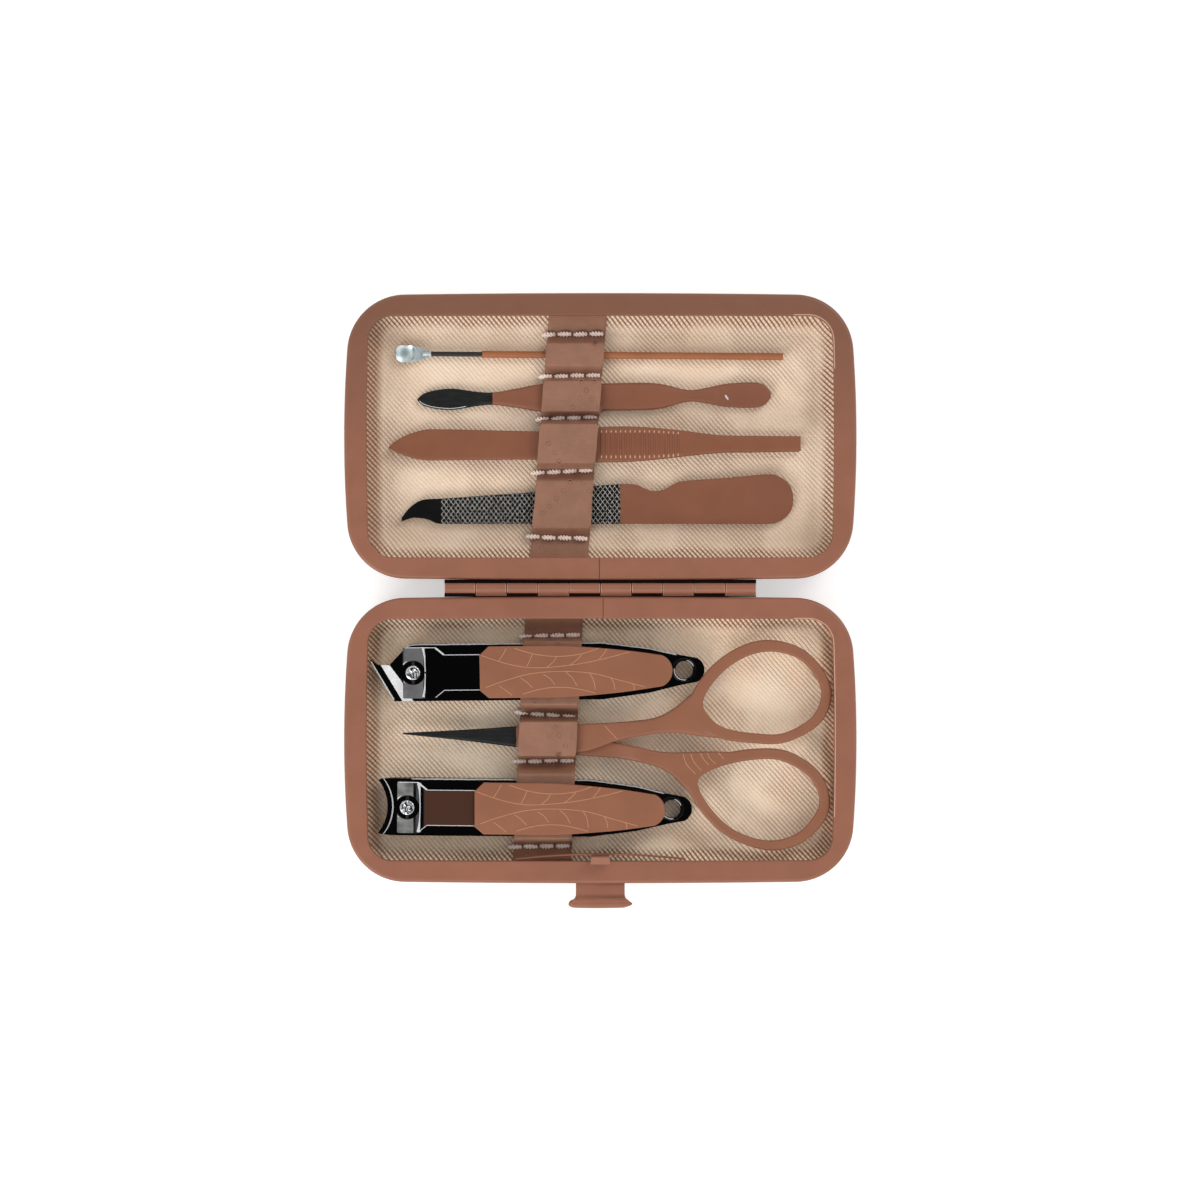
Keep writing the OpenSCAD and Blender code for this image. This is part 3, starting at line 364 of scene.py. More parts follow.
def outline(b, inset, steps=(10, 22, 14)):
    """Points round a rounded rectangle whose sides bow; b is (width, depth, corner radius, end bow, side bow)."""
    w, d, r, end, side = b
    cx, cy = w / 2 - r - end, d / 2 - r - side
    side_r, end_r = r + (cx * cx + side * side) / (2 * side), r + (cy * cy + end * end) / (2 * end)
    side_a, end_a = math.atan(cx / (side_r - r - side)), math.atan(cy / (end_r - r - end))

    def arc(x, y, radius, a0, a1, n):
        angles = (a0 + (a1 - a0) * i / n for i in range(n + 1))
        return [(x + radius * math.cos(a), y + radius * math.sin(a)) for a in angles]

    half = math.pi / 2
    q = arc(w / 2 - end_r, 0, end_r - inset, 0, end_a, steps[0])[:-1]
    q += arc(cx, cy, r - inset, end_a, half - side_a, steps[1])[:-1]
    q += arc(0, d / 2 - side_r, side_r - inset, half - side_a, half, steps[2])
    back = list(reversed(q[1:-1]))
    return q + [(-x, y) for x, y in back] + [(-x, -y) for x, y in q] + [(x, -y) for x, y in back]


def rect(x0, y0, x1, y1):
    return [(x0, y0), (x1, y0), (x1, y1), (x0, y1)]


def lift(points, z):
    return [(x, y, z) for x, y in points]


def curve_span(a, b, c, d, n):
    """n points from b towards c on a Catmull-Rom curve."""
    return [tuple(0.5 * (2 * q + (r - p) * t + (2 * p - 5 * q + 4 * r - s) * t * t + (3 * q - p - 3 * r + s) * t ** 3)
                  for p, q, r, s in zip(a, b, c, d)) for t in (k / n for k in range(n))]


def spline(points, n):
    """An open curve through the points, n steps a span."""
    m, out = len(points) - 1, []
    for i in range(m):
        out += curve_span(points[max(i - 1, 0)], points[i], points[i + 1], points[min(i + 2, m)], n)
    return out + [tuple(points[m])]


def ring_spline(points, n):
    """The same, closed."""
    m, out = len(points), []
    for i in range(m):
        out += curve_span(*(points[(i + k) % m] for k in (-1, 0, 1, 2)), n)
    return out


def power(v, e):
    return math.copysign(abs(v) ** e, v)


def smooth_step(t):
    t = min(1, max(0, t))
    return t * t * (3 - 2 * t)


def slope_z(inset):
    t = min(1, max(0, (inset + TUCK) / SLOPE_W))
    return FLOOR_Z + (RIM_Z - FLOOR_Z) * (1 - t) ** 2.2


# ---- making pieces ----
@contextmanager
def editing(piece):
    bm = bmesh.new()
    bm.from_mesh(piece.data)
    yield bm
    bm.to_mesh(piece.data)
    bm.free()


def finish_piece(piece, material, body, slot, *replaces):
    scene.collection.objects.link(piece)
    piece.data.materials.clear()
    piece.data.materials.append(material.material)
    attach(piece, body)
    if replaces:
        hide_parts(*replaces)
    return piece


def mesh_object(name, data):
    """An object from (points in millimetres, faces)."""
    mesh = bpy.data.meshes.new(name)
    mesh.from_pydata([Vector(v) * MM for v in data[0]], [], data[1])
    return bpy.data.objects.new(name, mesh)


def make(name, data, material, body, slot, *replaces):
    piece = mesh_object(name, data)
    piece.data.shade_smooth()
    return finish_piece(piece, material, body, slot, *replaces)


def solid(name, data, material, body, slot, *replaces, angle=None):
    """A closed piece; edges sharper than the angle stay sharp."""
    piece = fix_normals(make(name, data, material, body, slot, *replaces))
    return shade_by_angle(piece, angle) if angle else piece


def loft(rings, closed=False):
    n, m = len(rings[0]), len(rings)
    verts = [p for ring in rings for p in ring]
    faces = []
    for i in range(m if closed else m - 1):
        u = (i + 1) % m
        for j in range(n):
            k = (j + 1) % n
            faces.append((i * n + j, u * n + j, u * n + k, i * n + k))
    if not closed:
        faces.append(tuple(range(n)))
        faces.append(tuple(reversed(range((m - 1) * n, m * n))))
    return verts, faces


def merge(parts):
    verts, faces = [], []
    for v, f in parts:
        n = len(verts)
        verts += v
        faces += [tuple(i + n for i in q) for q in f]
    return verts, faces


def in_half(half, data):
    """Shapes drawn over the tray, mirrored across the hinge where they belong to the lid."""
    if half == "tray":
        return data
    return [(x, 2 * HINGE_Y - y, z) for x, y, z in data[0]], [tuple(reversed(f)) for f in data[1]]


def fix_normals(piece):
    with editing(piece) as bm:
        bmesh.ops.recalc_face_normals(bm, faces=bm.faces)
    return piece


def shade_by_angle(piece, angle=32):
    """Sharp edges above an angle, smooth below it."""
    with editing(piece) as bm:
        for e in bm.edges:
            e.smooth = len(e.link_faces) == 2 and e.calc_face_angle(0) < math.radians(angle)
        for f in bm.faces:
            f.smooth = True
    return piece


def apply_modifiers(piece):
    bpy.context.view_layer.update()
    done = bpy.data.meshes.new_from_object(piece.evaluated_get(bpy.context.evaluated_depsgraph_get()))
    piece.modifiers.clear()
    piece.data = done
    return piece


def bevelled_copy(node, material, body, slot, width=0.12, edge=None, grind=None):
    """The CAD node's own shape with rounded edges; edge is a second, light material for painted highlights on them or
    on ground faces, and grind cuts it first.
    """
    piece = bpy.data.objects.new(node + "_look", nodes[node].data.copy())
    with editing(piece) as bm:
        bmesh.ops.remove_doubles(bm, verts=bm.verts, dist=2e-6)
        bmesh.ops.dissolve_limit(bm, angle_limit=math.radians(0.6), verts=bm.verts, edges=bm.edges)
    piece.data.shade_smooth()
    finish_piece(piece, material, body, slot, node)
    if edge:
        piece.data.materials.append(edge.material)
    if grind:
        grind(piece)
    bevel = piece.modifiers.new("Edges", "BEVEL")
    bevel.width, bevel.segments, bevel.limit_method = width * MM, 2, "ANGLE"
    bevel.angle_limit = math.radians(28)
    bevel.use_clamp_overlap = True
    if edge:
        bevel.material = 1
    normals = piece.modifiers.new("Normals", "WEIGHTED_NORMAL")
    normals.keep_sharp = True
    normals.weight = 80
    return piece


def boolean(piece, data, operation="DIFFERENCE"):
    """Cuts a solid, in millimetres, out of a piece, or joins it on."""
    cutter = mesh_object("cutter", data)
    scene.collection.objects.link(cutter)
    mod = fix_normals(piece).modifiers.new("Cut", "BOOLEAN")
    mod.operation, mod.solver, mod.object = operation, "EXACT", fix_normals(cutter)
    apply_modifiers(piece)
    bpy.data.objects.remove(cutter)
    return piece


def cut(piece, boxes):
    """Cuts boxes, each (low corner, high corner) in millimetres, out of a piece."""
    for (x0, y0, z0), (x1, y1, z1) in boxes:
        boolean(piece, loft([lift(rect(x0, y0, x1, y1), z) for z in (z0, z1)]))


# ---- the case: frames, covers, linings ----
def frame_rings():
    """The frame's section from the foot of its outer wall over the rail to its lip, and back inside."""
    foot_z, inner_edge = HALF_H - WALL_H, 0.32
    rings = [lift(outline(OUTER, 0.08), foot_z), lift(outline(OUTER, 0), foot_z + 0.12)]
    rings += [lift(outline(OUTER, RAIL_T * (1 - math.cos(a))), HALF_H - RAIL_T * (1 - math.sin(a)))
              for a in quarter(8)]
    rings.append(lift(outline(OPENING, -inner_edge - 0.5), HALF_H))
    rings += [lift(outline(OPENING, -inner_edge * (1 - math.sin(a))), HALF_H - inner_edge * (1 - math.cos(a)))
              for a in quarter(6)]
    rings += [lift(outline(OPENING, 0), LIP_Z + 0.15), lift(outline(OPENING, -0.12), LIP_Z)]
    rings += [lift(outline(OPENING, -LIP_T), z) for z in (LIP_Z, HALF_H - RAIL_T)]
    return rings + [lift(outline(OUTER, WALL_T), z) for z in (HALF_H - RAIL_T, foot_z)]


def foot(inset, z, r, n=10):
    """The rounded foot of a tub, from its flat underside out to its wall."""
    return [lift(outline(OUTER, inset + r * (1 - math.cos(a))), z + r * (1 - math.sin(a)))
            for a in (math.radians(90 - 90 * k / n) for k in range(n + 1))]


def cover_rings():
    inner = COVER_INSET + COVER_T
    rings = foot(COVER_INSET, 0, COVER_R)
    rings += [lift(outline(OUTER, inset), WALL_TOP) for inset in (COVER_INSET, inner)]
    return rings + list(reversed(foot(inner, COVER_T, COVER_R - COVER_T)))


SEAM = 0.15
TAB_W, TAB_Z, TAB_T, GAP = 10.5, WALL_TOP - 1, 0.9, 0.3
CATCH_CUTS = [((-w / 2 - GAP, y0, TAB_Z - GAP), (w / 2 + GAP, y1, TAB_Z + TAB_T + GAP))
              for w, y0, y1 in ((TAB_W, -HALF_D / 2 - 1, -HALF_D / 2 + 2.2 + 1.2 + GAP),
                                (4, -HALF_D / 2 + 1.2, -OPEN_D / 2 + 2.3))]
for half, seam_x in (("tray", 0.6), ("lid", -0.2)):
    rail = solid(half + "_rail", in_half(half, loft(frame_rings(), closed=True)), case_paint, half, "case_paint",
                 half + "_frame")
    low, high = OPEN_D / 2 - 1, OPEN_D / 2 + 1 + RAIL
    if half == "lid":
        low, high = 2 * HINGE_Y - high, 2 * HINGE_Y - low
    seam = ((seam_x - SEAM / 2, low, HALF_H - 0.3), (seam_x + SEAM / 2, high, HALF_H + 1))
    cut(rail, [seam] + (CATCH_CUTS if half == "tray" else []))
    shade_by_angle(rail)

for half in HALVES:
    cover = solid(half + "_leather", in_half(half, loft(cover_rings())), case_leather, half, "case_leather",
                  half + "_cover")
    if half == "tray":
        cut(cover, CATCH_CUTS)
    shade_by_angle(cover)
    nodes[half + "_shell"].data.materials.clear()
    nodes[half + "_shell"].data.materials.append(board.material)

# Stitch rows, loop heights, middle, lean, the width of each loop's two ramps, the rows' slant, and punched holes,
# these in the open case's frame
STRAPS = {
    "tray": dict(rows=(-23.2, -4.7, 5.1, 22.3), heights=(5.3, 5.6, 5.3), x=-11.3, lean=math.tan(math.radians(2.85)),
                 ramps=((2.2, 3.2), (1.5, 1.5), (2.8, 1.5)), slants=(0.02, 0.02, -0.09, 0.03),
                 holes=((-9.7, 2.6), (-8.9, 0.9), (-7.5, -1.3), (-9, -3.4), (-6, 0.4), (-11, 0.8), (-14.7, 23.9),
                        (-9.3, 20.6), (-13.1, 6.7), (-14.2, 8.4))),
    "lid": dict(rows=(-22.4, -13.4, -4.3, 7.2, 21.6), heights=(2.6, 3.1, 5.4, 2.4), x=-6.9,
                lean=math.tan(math.radians(-4.45)), ramps=((2.6, 2.6), (1.6, 1.6), (1.9, 1.9), (2.6, 2.6)),
                slants=(-0.02, -0.03, -0.05, -0.06, 0.04),
                holes=((-1.1, 85.5), (-4.1, 77), (-1.3, 77), (-3, 75.2), (-4.4, 73.5), (-1.8, 73.3), (-5.9, 71.6),
                       (-0.3, 71.4), (-11.1, 63.6), (-9.9, 61.6), (-8.9, 59.8), (-6.5, 55.5), (-3.7, 55.3),
                       (-8, 53.6), (-2.4, 53.4), (-9.5, 51.9), (-11, 50.2), (-12.5, 48.7), (-12.7, 41.4),
                       (-9.7, 39.7))),
}
FLOOR_SHARES = (0.96, 0.92, 0.87, 0.81, 0.74, 0.66, 0.57, 0.47, 0.36, 0.24, 0.11)


def lining_rings(strap):
    """A tucked rim, a sloping side and a soft floor that the stitching pulls down a little."""
    rings = foot(LINING_INSET, LINING_Z, COVER_R - COVER_T - SHELL_T, 4)
    rings.append(lift(outline(OUTER, LINING_INSET), RIM_Z - 0.15))
    rings.append(lift(outline(OUTER, LINING_INSET + RIM_W / 2), RIM_Z))
    inner = outline(OPENING, SLOPE_W - TUCK)
    insets = [SLOPE_W * (0.16 + 0.84 * k / 21) - TUCK for k in range(22)]
    grid = [(outline(OUTER, LINING_INSET + RIM_W), RIM_Z)]
    grid += [(outline(OPENING, inset), slope_z(inset)) for inset in insets]
    grid += [([(x * k, y * k) for x, y in inner], FLOOR_Z + CROWN_H * (1 - k * k)) for k in FLOOR_SHARES]
    for index, (ring, level) in enumerate(grid):
        out = []
        soft = min(1, index / 12)
        for x, y in ring:
            wave = noise.noise(Vector((x * 0.07, y * 0.09, 3.1))) * 0.16
            wave += noise.noise(Vector((x * 0.21, y * 0.23, 7.7))) * 0.06
            z = level + soft * (wave - 0.05)
            for row in strap["rows"]:
                near = math.exp(-((y - row) / 1.1) ** 2)
                past = abs(x - strap["x"] - strap["lean"] * row) - STRAP_W / 2 - 0.3
                z -= 0.16 * near / (1 + math.exp(past * 2.2)) * soft
            out.append((x, y, z))
        rings.append(out)
    return rings


for half in HALVES:
    data = in_half(half, loft(lining_rings(STRAPS[half])))
    pad = solid(half + "_padding", data, lining_pu, half, "lining", half + "_lining")


# ---- straps: rows of stitches hold the leather down, loops rise over the tools ----
def flat_z(y):
    """Underside of a strap where it lies on the lining."""
    return max(STRAP_Z, slope_z(OPEN_D / 2 - abs(y)) + STRAP_LIFT)


def strap_path(strap):
    """Stations (y, lower z, upper z) along the ribbon."""
    rows = strap["rows"]
    end, steps = OPEN_D / 2 + 0.6, 84

    def flat(y0, y1, n=16):
        ys = (y0 + (y1 - y0) * k / n for k in range(n + 1))
        return [(y, flat_z(y), flat_z(y) + STRAP_T) for y in ys]

    path = flat(-end, rows[0])
    for y0, y1, h, (d0, d1) in zip(rows, rows[1:], strap["heights"], strap["ramps"]):
        for i in range(1, steps):
            y = y0 + (y1 - y0) * (0.5 - 0.5 * math.cos(math.pi * (i / steps)))
            near, ramp = min((y - y0, d0), (y1 - y, d1))
            low = STRAP_Z + h * smooth_step((near - 0.3) / (ramp - 0.3))
            high = STRAP_Z + STRAP_T + h * smooth_step(near / (ramp - 0.15))
            high += 0.12 * math.sin(math.pi * (y - y0) / (y1 - y0))
            path.append((y, low, min(high, STRAP_Z + h + STRAP_T)))
    return path + flat(rows[-1], end)


def strap_mesh(half):
    strap, across, rings = STRAPS[half], 28, []
    for y, low, high in strap_path(strap):
        middle = strap["x"] + y * strap["lean"]
        w = STRAP_W / 2 + 0.14 * noise.noise(Vector((3.3 if half == "tray" else 9.1, y * 0.35, 0.5)))
        ring = [(middle + w * (-1 + 2 * k / across), y, low) for k in range(across + 1)]
        for k in range(across, -1, -1):
            u = -1 + 2 * k / across
            t = max(0, (abs(u) - 0.93) / 0.07)
            soft = 0.06 * noise.noise(Vector((u * 3, y * 0.5, 1.7)))
            ring.append((middle + u * w, y, high + (low - high) * 0.3 * t * t + soft - 0.05))
        rings.append(ring)
    return loft(rings)


straps = {half: solid(half + "_strap_leather", in_half(half, strap_mesh(half)), strap_leather, half, "strap_leather",
                      half + "_strap", angle=60) for half in HALVES}


def surface_of(piece):
    """A function that gives the top surface's height in millimetres, and its normal, over a point."""
    bm = bmesh.new()
    bm.from_mesh(piece.data)
    tree = BVHTree.FromBMesh(bm)
    bm.free()

    def drop(x, y):
        spot, normal, _, _ = tree.ray_cast(Vector((x * MM, y * MM, 0.05)), Vector((0, 0, -1)))
        return None if spot is None else (spot.z / MM, normal)

    return drop


def ribbons(name, lines, width, carrier, material, body, slot, raise_by=0.02, step=0.35, flare=1.0):
    """Fine lines over the top of a piece: width in the middle, and flare times that at both ends."""
    drop = surface_of(carrier)
    verts, faces = [], []
    for line in lines:
        points = []
        for (xa, ya), (xb, yb) in zip(line, line[1:]):
            n = max(1, round(math.hypot(xb - xa, yb - ya) / step))
            points += [(xa + (xb - xa) * k / n, ya + (yb - ya) * k / n) for k in range(n)]
        points.append(line[-1])
        last, end = None, len(points) - 1
        for i, (x, y) in enumerate(points):
            (xa, ya), (xb, yb) = points[max(i - 1, 0)], points[min(i + 1, end)]
            long = math.hypot(xb - xa, yb - ya) or 1
            nx, ny = -(yb - ya) / long, (xb - xa) / long
            w = width / 2 * (1 + (flare - 1) * abs(2 * i / end - 1) ** 4)
            if i in (0, end):
                w *= 0.35 if flare == 1.0 else 0.7
            hit = drop(x, y)
            if hit is None:
                last = None
                continue
            z, now = hit[0] + raise_by, len(verts)
            verts += [(x + nx * w, y + ny * w, z), (x, y, z + raise_by * 0.5), (x - nx * w, y - ny * w, z)]
            if last is not None:
                faces += [(last, last + 1, now + 1, now), (last + 1, last + 2, now + 2, now + 1)]
            last = now
    return make(name, (verts, faces), material, body, slot)


HOLE_RINGS = ((0.66, -0.03), (0.56, 0.06), (0.48, 0.04), (0.42, -0.02))


def punched_holes(half, sides=14):
    """Small punched holes with a pressed rim and a floor in painted shade, each facing out of the leather."""
    drop = surface_of(straps[half])
    verts, faces, dark = [], [], []
    for x, y in STRAPS[half]["holes"]:
        hit = drop(x, y)
        if hit is None:
            continue
        up = hit[1] if hit[1].z > 0 else -hit[1]
        along = up.cross(Vector((0, 1, 0))).normalized()
        other = up.cross(along)
        centre, n = Vector((x, y, hit[0])), len(verts)
        for r, h in HOLE_RINGS:
            verts += [centre + (along * math.cos(a) + other * math.sin(a)) * r + up * h for a in turns(sides)]
        for start in range(n, n + 3 * sides, sides):
            for k in range(sides):
                j = (k + 1) % sides
                faces.append((start + k, start + j, start + sides + j, start + sides + k))
        faces.append(tuple(n + 3 * sides + k for k in range(sides)))
        dark += range(len(faces) - 1 - sides, len(faces))
    piece = make(half + "_strap_holes", (verts, faces), strap_leather, half, "strap_leather")
    piece.data.materials.append(hole_shade.material)
    for index in dark:
        piece.data.polygons[index].material_index = 1


def strand(a, b, r=0.34, twists=2.2, steps=22, sides=8):
    """Two threads twisted round each other from a to b, thick in the middle, diving down at both ends."""
    a, b = Vector(a), Vector(b)
    along = (b - a).normalized()
    side = along.cross(Vector((0, 0, 1))).normalized()
    up = side.cross(along)
    parts = []
    for start in (0, math.pi):
        rings = []
        for i in range(steps + 1):
            t = i / steps
            swell = math.sin(math.pi * t) ** 0.45 if 0 < t < 1 else 0.0
            turn = start + twists * 2 * math.pi * t
            c = a + (b - a) * t
            c += (side * math.cos(turn) * 1.25 + up * math.sin(turn) * 0.8) * 0.24 * (0.4 + 0.6 * swell)
            c += up * (0.42 * swell - 0.06)
            fat = r * (0.5 + 0.5 * swell)
            rings.append([tuple(c + side * math.cos(w) * fat + up * math.sin(w) * fat) for w in turns(sides)])
        parts.append(loft(rings))
    return merge(parts)


def stitches(strap, count=4, pitch=3.45, long=3.0, jitter=0.12):
    """Twisted stitches along each row; the first starts lower, beyond the strap's left edge."""
    parts = []
    for row, slant in zip(strap["rows"], strap["slants"]):
        z = flat_z(row) + STRAP_T + 0.12
        centre = strap["x"] + row * strap["lean"]
        first = centre - STRAP_W / 2 - 1.3
        for k in range(count):
            xs = (first + pitch * k, first + pitch * k + long)
            ya, yb = (row + slant * (x - centre) + random.uniform(-jitter, jitter) for x in xs)
            parts.append(strand((xs[0], ya, z - (0 if k else 0.35)), (xs[1], yb, z)))
    return merge(parts)


for half in ("lid", "tray"):
    punched_holes(half)
for half in HALVES:
    solid(half + "_stitching", in_half(half, stitches(STRAPS[half])), thread, half, "strap_leather")


# ---- shapes of the tools: stations run along X, the same as in the CAD source ----
def inset_points(points, d):
    m, out = len(points), []
    for i, (x, y) in enumerate(points):
        (xa, ya), (xb, yb) = points[i - 1], points[(i + 1) % m]
        long = math.hypot(xb - xa, yb - ya)
        out.append((x - d * (yb - ya) / long, y + d * (xb - xa) / long))
    return out


def plate(points, z0, z1, edge):
    """A flat plate over an anticlockwise outline, with rounded edges."""
    rings = [lift(inset_points(points, edge * (1 - math.sin(a))), z0 + edge * (1 - math.cos(a))) for a in quarter(4)]
    rings += [lift(inset_points(points, edge * (1 - math.cos(a))), z1 - edge * (1 - math.sin(a))) for a in quarter(4)]
    return loft(rings)


def bar(stations, n, sides, squareness):
    """A bar from stations (x, upper y, lower y, lower z, upper z)."""
    rings = []
    for x, high, low, bottom, top in spline(stations, n):
        ring = []
        for k in range(sides):
            a = 2 * math.pi * (k + 0.5) / sides
            ring.append((x, (high + low) / 2 + (high - low) / 2 * power(math.cos(a), squareness),
                         (bottom + top) / 2 + (top - bottom) / 2 * power(math.sin(a), squareness)))
        rings.append(ring)
    return loft(rings)


def moved(data, x=0, y=0, z=0, turn=0):
    c, s = math.cos(math.radians(turn)), math.sin(math.radians(turn))
    return [(x + px * c - py * s, y + px * s + py * c, z + pz) for px, py, pz in data[0]], data[1]


# ---- hinge and catch ----
HINGE_L, HALF_GAP, KNUCKLES, KNUCKLE_R, SLIM = 66.9, 3.5, 10, 1.25, 0.86
PITCH, HINGE_END, RAIL_SIDE = HINGE_L / KNUCKLES, HINGE_L / 2, HINGE_Y - HALF_GAP / 2
UNDER_KNUCKLE, LEAF_TOP = 9.9, HINGE_Z - 0.74


def gap_shadow_strip(x0, x1, reach=1.1):
    """A strip of painted shadow in the gap between knuckles and rail, reaching so near to the hinge's middle line."""
    return plate(rect(x0, RAIL_SIDE - 0.12, x1, HINGE_Y - reach), LEAF_TOP, LEAF_TOP + 0.06, 0.01)


# The leaves' rounded edges carry painted highlights
for half in HALVES:
    leaf = bevelled_copy("hinge_" + half + "_leaf", case_paint, half, "case_paint", 0.1, highlight_paint)
    # The knuckles look a little slimmer than in the CAD, to show the dark gap along the rails
    for v in leaf.data.vertices:
        dy, dz = v.co.y / MM - HINGE_Y, v.co.z / MM - HINGE_Z
        if abs(math.hypot(dy, dz) - KNUCKLE_R) < 0.03 and dz > -0.74:
            v.co.y, v.co.z = (HINGE_Y + dy * SLIM) * MM, (HINGE_Z + dz * SLIM) * MM
bevelled_copy("catch_spring", case_paint, "catch", "case_paint", 0.05)
# The hinge pin is darkened as painted shade, so the gaps between knuckles read dark
bevelled_copy("hinge_pin", dark_steel_and_shade, "tray", "steel", 0.08)
# A sheet under the knuckles where the leaves would show, coloured as painted shadow
web = plate(rect(-HINGE_END, RAIL_SIDE + 0.02, HINGE_END, HINGE_Y - 0.1), UNDER_KNUCKLE, UNDER_KNUCKLE + 0.3, 0.05)
for half in HALVES:
    make("hinge_" + half + "_web", in_half(half, web), hinge_shadow, half, "case_paint")
# Painted shadow in the gap on the lid's side all along, and on the tray's side beside the lid's knuckles
make("hinge_lid_gap_shadow", in_half("lid", gap_shadow_strip(-HINGE_END, HINGE_END)), hinge_shadow, "lid", "case_paint")
beside = [gap_shadow_strip(-HINGE_END + k * PITCH, -HINGE_END + (k + 1) * PITCH, 1.65 if k % 2 else 1.1)
          for k in range(KNUCKLES)]
make("hinge_tray_gap_shadow", merge(beside), hinge_shadow, "tray", "case_paint")

TAB_FRONT = -HALF_D / 2 - 3.6
FLARE = [(5.25, 1.3), (5.3, 0.8), (5.5, 0.35), (6.1, -0.1), (6.1, -0.6)]
# The thumb lip from its rounded left end to its pointed, upturned right end
THUMB = [(-6.85, -0.8, -1.1, -0.2, 0.35), (-6.6, -0.35, -1.45, -0.6, 0.8), (-6.0, 0.0, -1.7, -0.95, 1.02),
         (-4.5, 0.2, -1.82, -1.1, 1.1), (0, 0.3, -1.86, -1.1, 1.1), (4.5, 0.2, -1.78, -1.1, 1.1),
         (5.6, 0.0, -1.6, -0.9, 1.08), (6.4, -0.4, -1.3, -0.4, 1.0), (6.88, -0.75, -0.98, 0.3, 0.8)]
# The tab's rounded edges carry painted highlights
tab = apply_modifiers(bevelled_copy("catch_tab", case_paint, "catch", "case_paint", 0.12, highlight_paint))
cut(tab, [((x0, -40, 0), (x1, TAB_FRONT + y, 14)) for x0, x1, y in
          ((-8, 8, 0.05), (-8, -TAB_W / 2 - 0.01, 1.2), (TAB_W / 2 + 0.01, 8, 1.2))])
shade_by_angle(tab)
flare = plate([(-x, y) for x, y in FLARE] + FLARE[::-1], TAB_Z, TAB_Z + TAB_T, 0.1)
solid("catch_flare", moved(flare, 0, TAB_FRONT), case_paint, "catch", "case_paint")
solid("catch_thumb_lip", moved(bar(THUMB, 6, 28, 0.85), 0, TAB_FRONT, TAB_Z + TAB_T - 1.1), case_paint, "catch",
      "case_paint")

# A painted highlight along the inner edge of each rail on its right side
for half, low, shift in (("tray", -17, 0), ("lid", 14, 2 * HINGE_Y)):
    line = sorted(((x, y) for x, y in outline(OPENING, -0.2) if x > 41 and y > low), key=lambda q: (q[1], -q[0]))
    ribbons(half + "_lip_highlight", [[(x, y + shift) for x, y in line]], 0.22, bpy.data.objects[half + "_rail"],
            highlight_paint, half, "case_paint")

# ---- tools in the lid ----
LID_Y = 2 * HINGE_Y
bevelled_copy("ear_pick", pick_paint, "ear_pick", "steel", 0.04)

PUSHER_Y = LID_Y + 8.8
# Stations (x, half width, lower z, upper z)
PUSHER = [(-39.6, 0.15, 0.35, 0.6), (-38.2, 1.3, 0.2, 0.8), (-35.5, 2.05, 0.1, 0.9), (-31.8, 2.3, 0.1, 1.0),
          (-27, 1.6, 0.15, 1.3), (-23.3, 1.35, 0.1, 1.6), (-18, 2.1, 0, 2), (-11.9, 3.05, 0, 2), (0, 2.95, 0, 2),
          (11.7, 2.85, 0, 2), (18.8, 1.3, 0.1, 1.8), (23, 1.7, 0.2, 1.6), (27.2, 2.5, 0.3, 1.4), (33, 2.75, 0.3, 1.3),
          (35.6, 2.1, 0.35, 1.2), (36.9, 0.5, 0.45, 1.0)]


def hollowed(x, y, z):
    """The spoon at the pusher's end and the slight dish of its blade."""
    spoon = smooth_step((x - 24.5) / 1.6)
    if spoon > 0 and z > 0.7:
        z = min(z, z + (9.4 - math.sqrt(max(0, 8.3 ** 2 - y * y)) - z) * spoon)
    blade = smooth_step((-25 - x) / 3) * smooth_step((x + 39.4) / 2)
    if z > 0.6:
        z -= blade * 0.22 * max(0, 1 - (y / 1.9) ** 2)
    return x, y, z


def rim_path(piece, x0, x1, y_mid, side, inset, steps=60, reach=9):
    """Points just inside the long edge of a piece seen from above; side is +1 or -1."""
    drop = surface_of(piece)
    line = []
    for k in range(steps + 1):
        x, y = x0 + (x1 - x0) * k / steps, y_mid + side * reach
        while side * (y - y_mid) > 0.1 and drop(x, y) is None:
            y -= side * 0.05
        line.append((x, y - side * inset))
    return line


verts, faces = bar([(x, w, -w, low, high) for x, w, low, high in PUSHER], 8, 28, 0.6)
pusher = moved(([hollowed(*v) for v in verts], faces), 0, PUSHER_Y, TOOL_Z, 0.8)
pusher = solid("cuticle_pusher_look", pusher, pusher_paint, "cuticle_pusher", "tool_paint", "cuticle_pusher", angle=40)
# Painted highlights: a light rim along the blade's lower edge, and a glint that stands for the spoon's slot
for name, line, width in (("pusher_rim_highlight", rim_path(pusher, -39.2, -29, PUSHER_Y - 0.5, -1, 0.3), 0.13),
                          ("pusher_slot_glint", [(27.0, 74.4), (27.3, 73.9), (27.7, 73.3)], 0.42)):
    ribbons(name, [line], width, pusher, highlight_metal, "cuticle_pusher", "tool_paint")

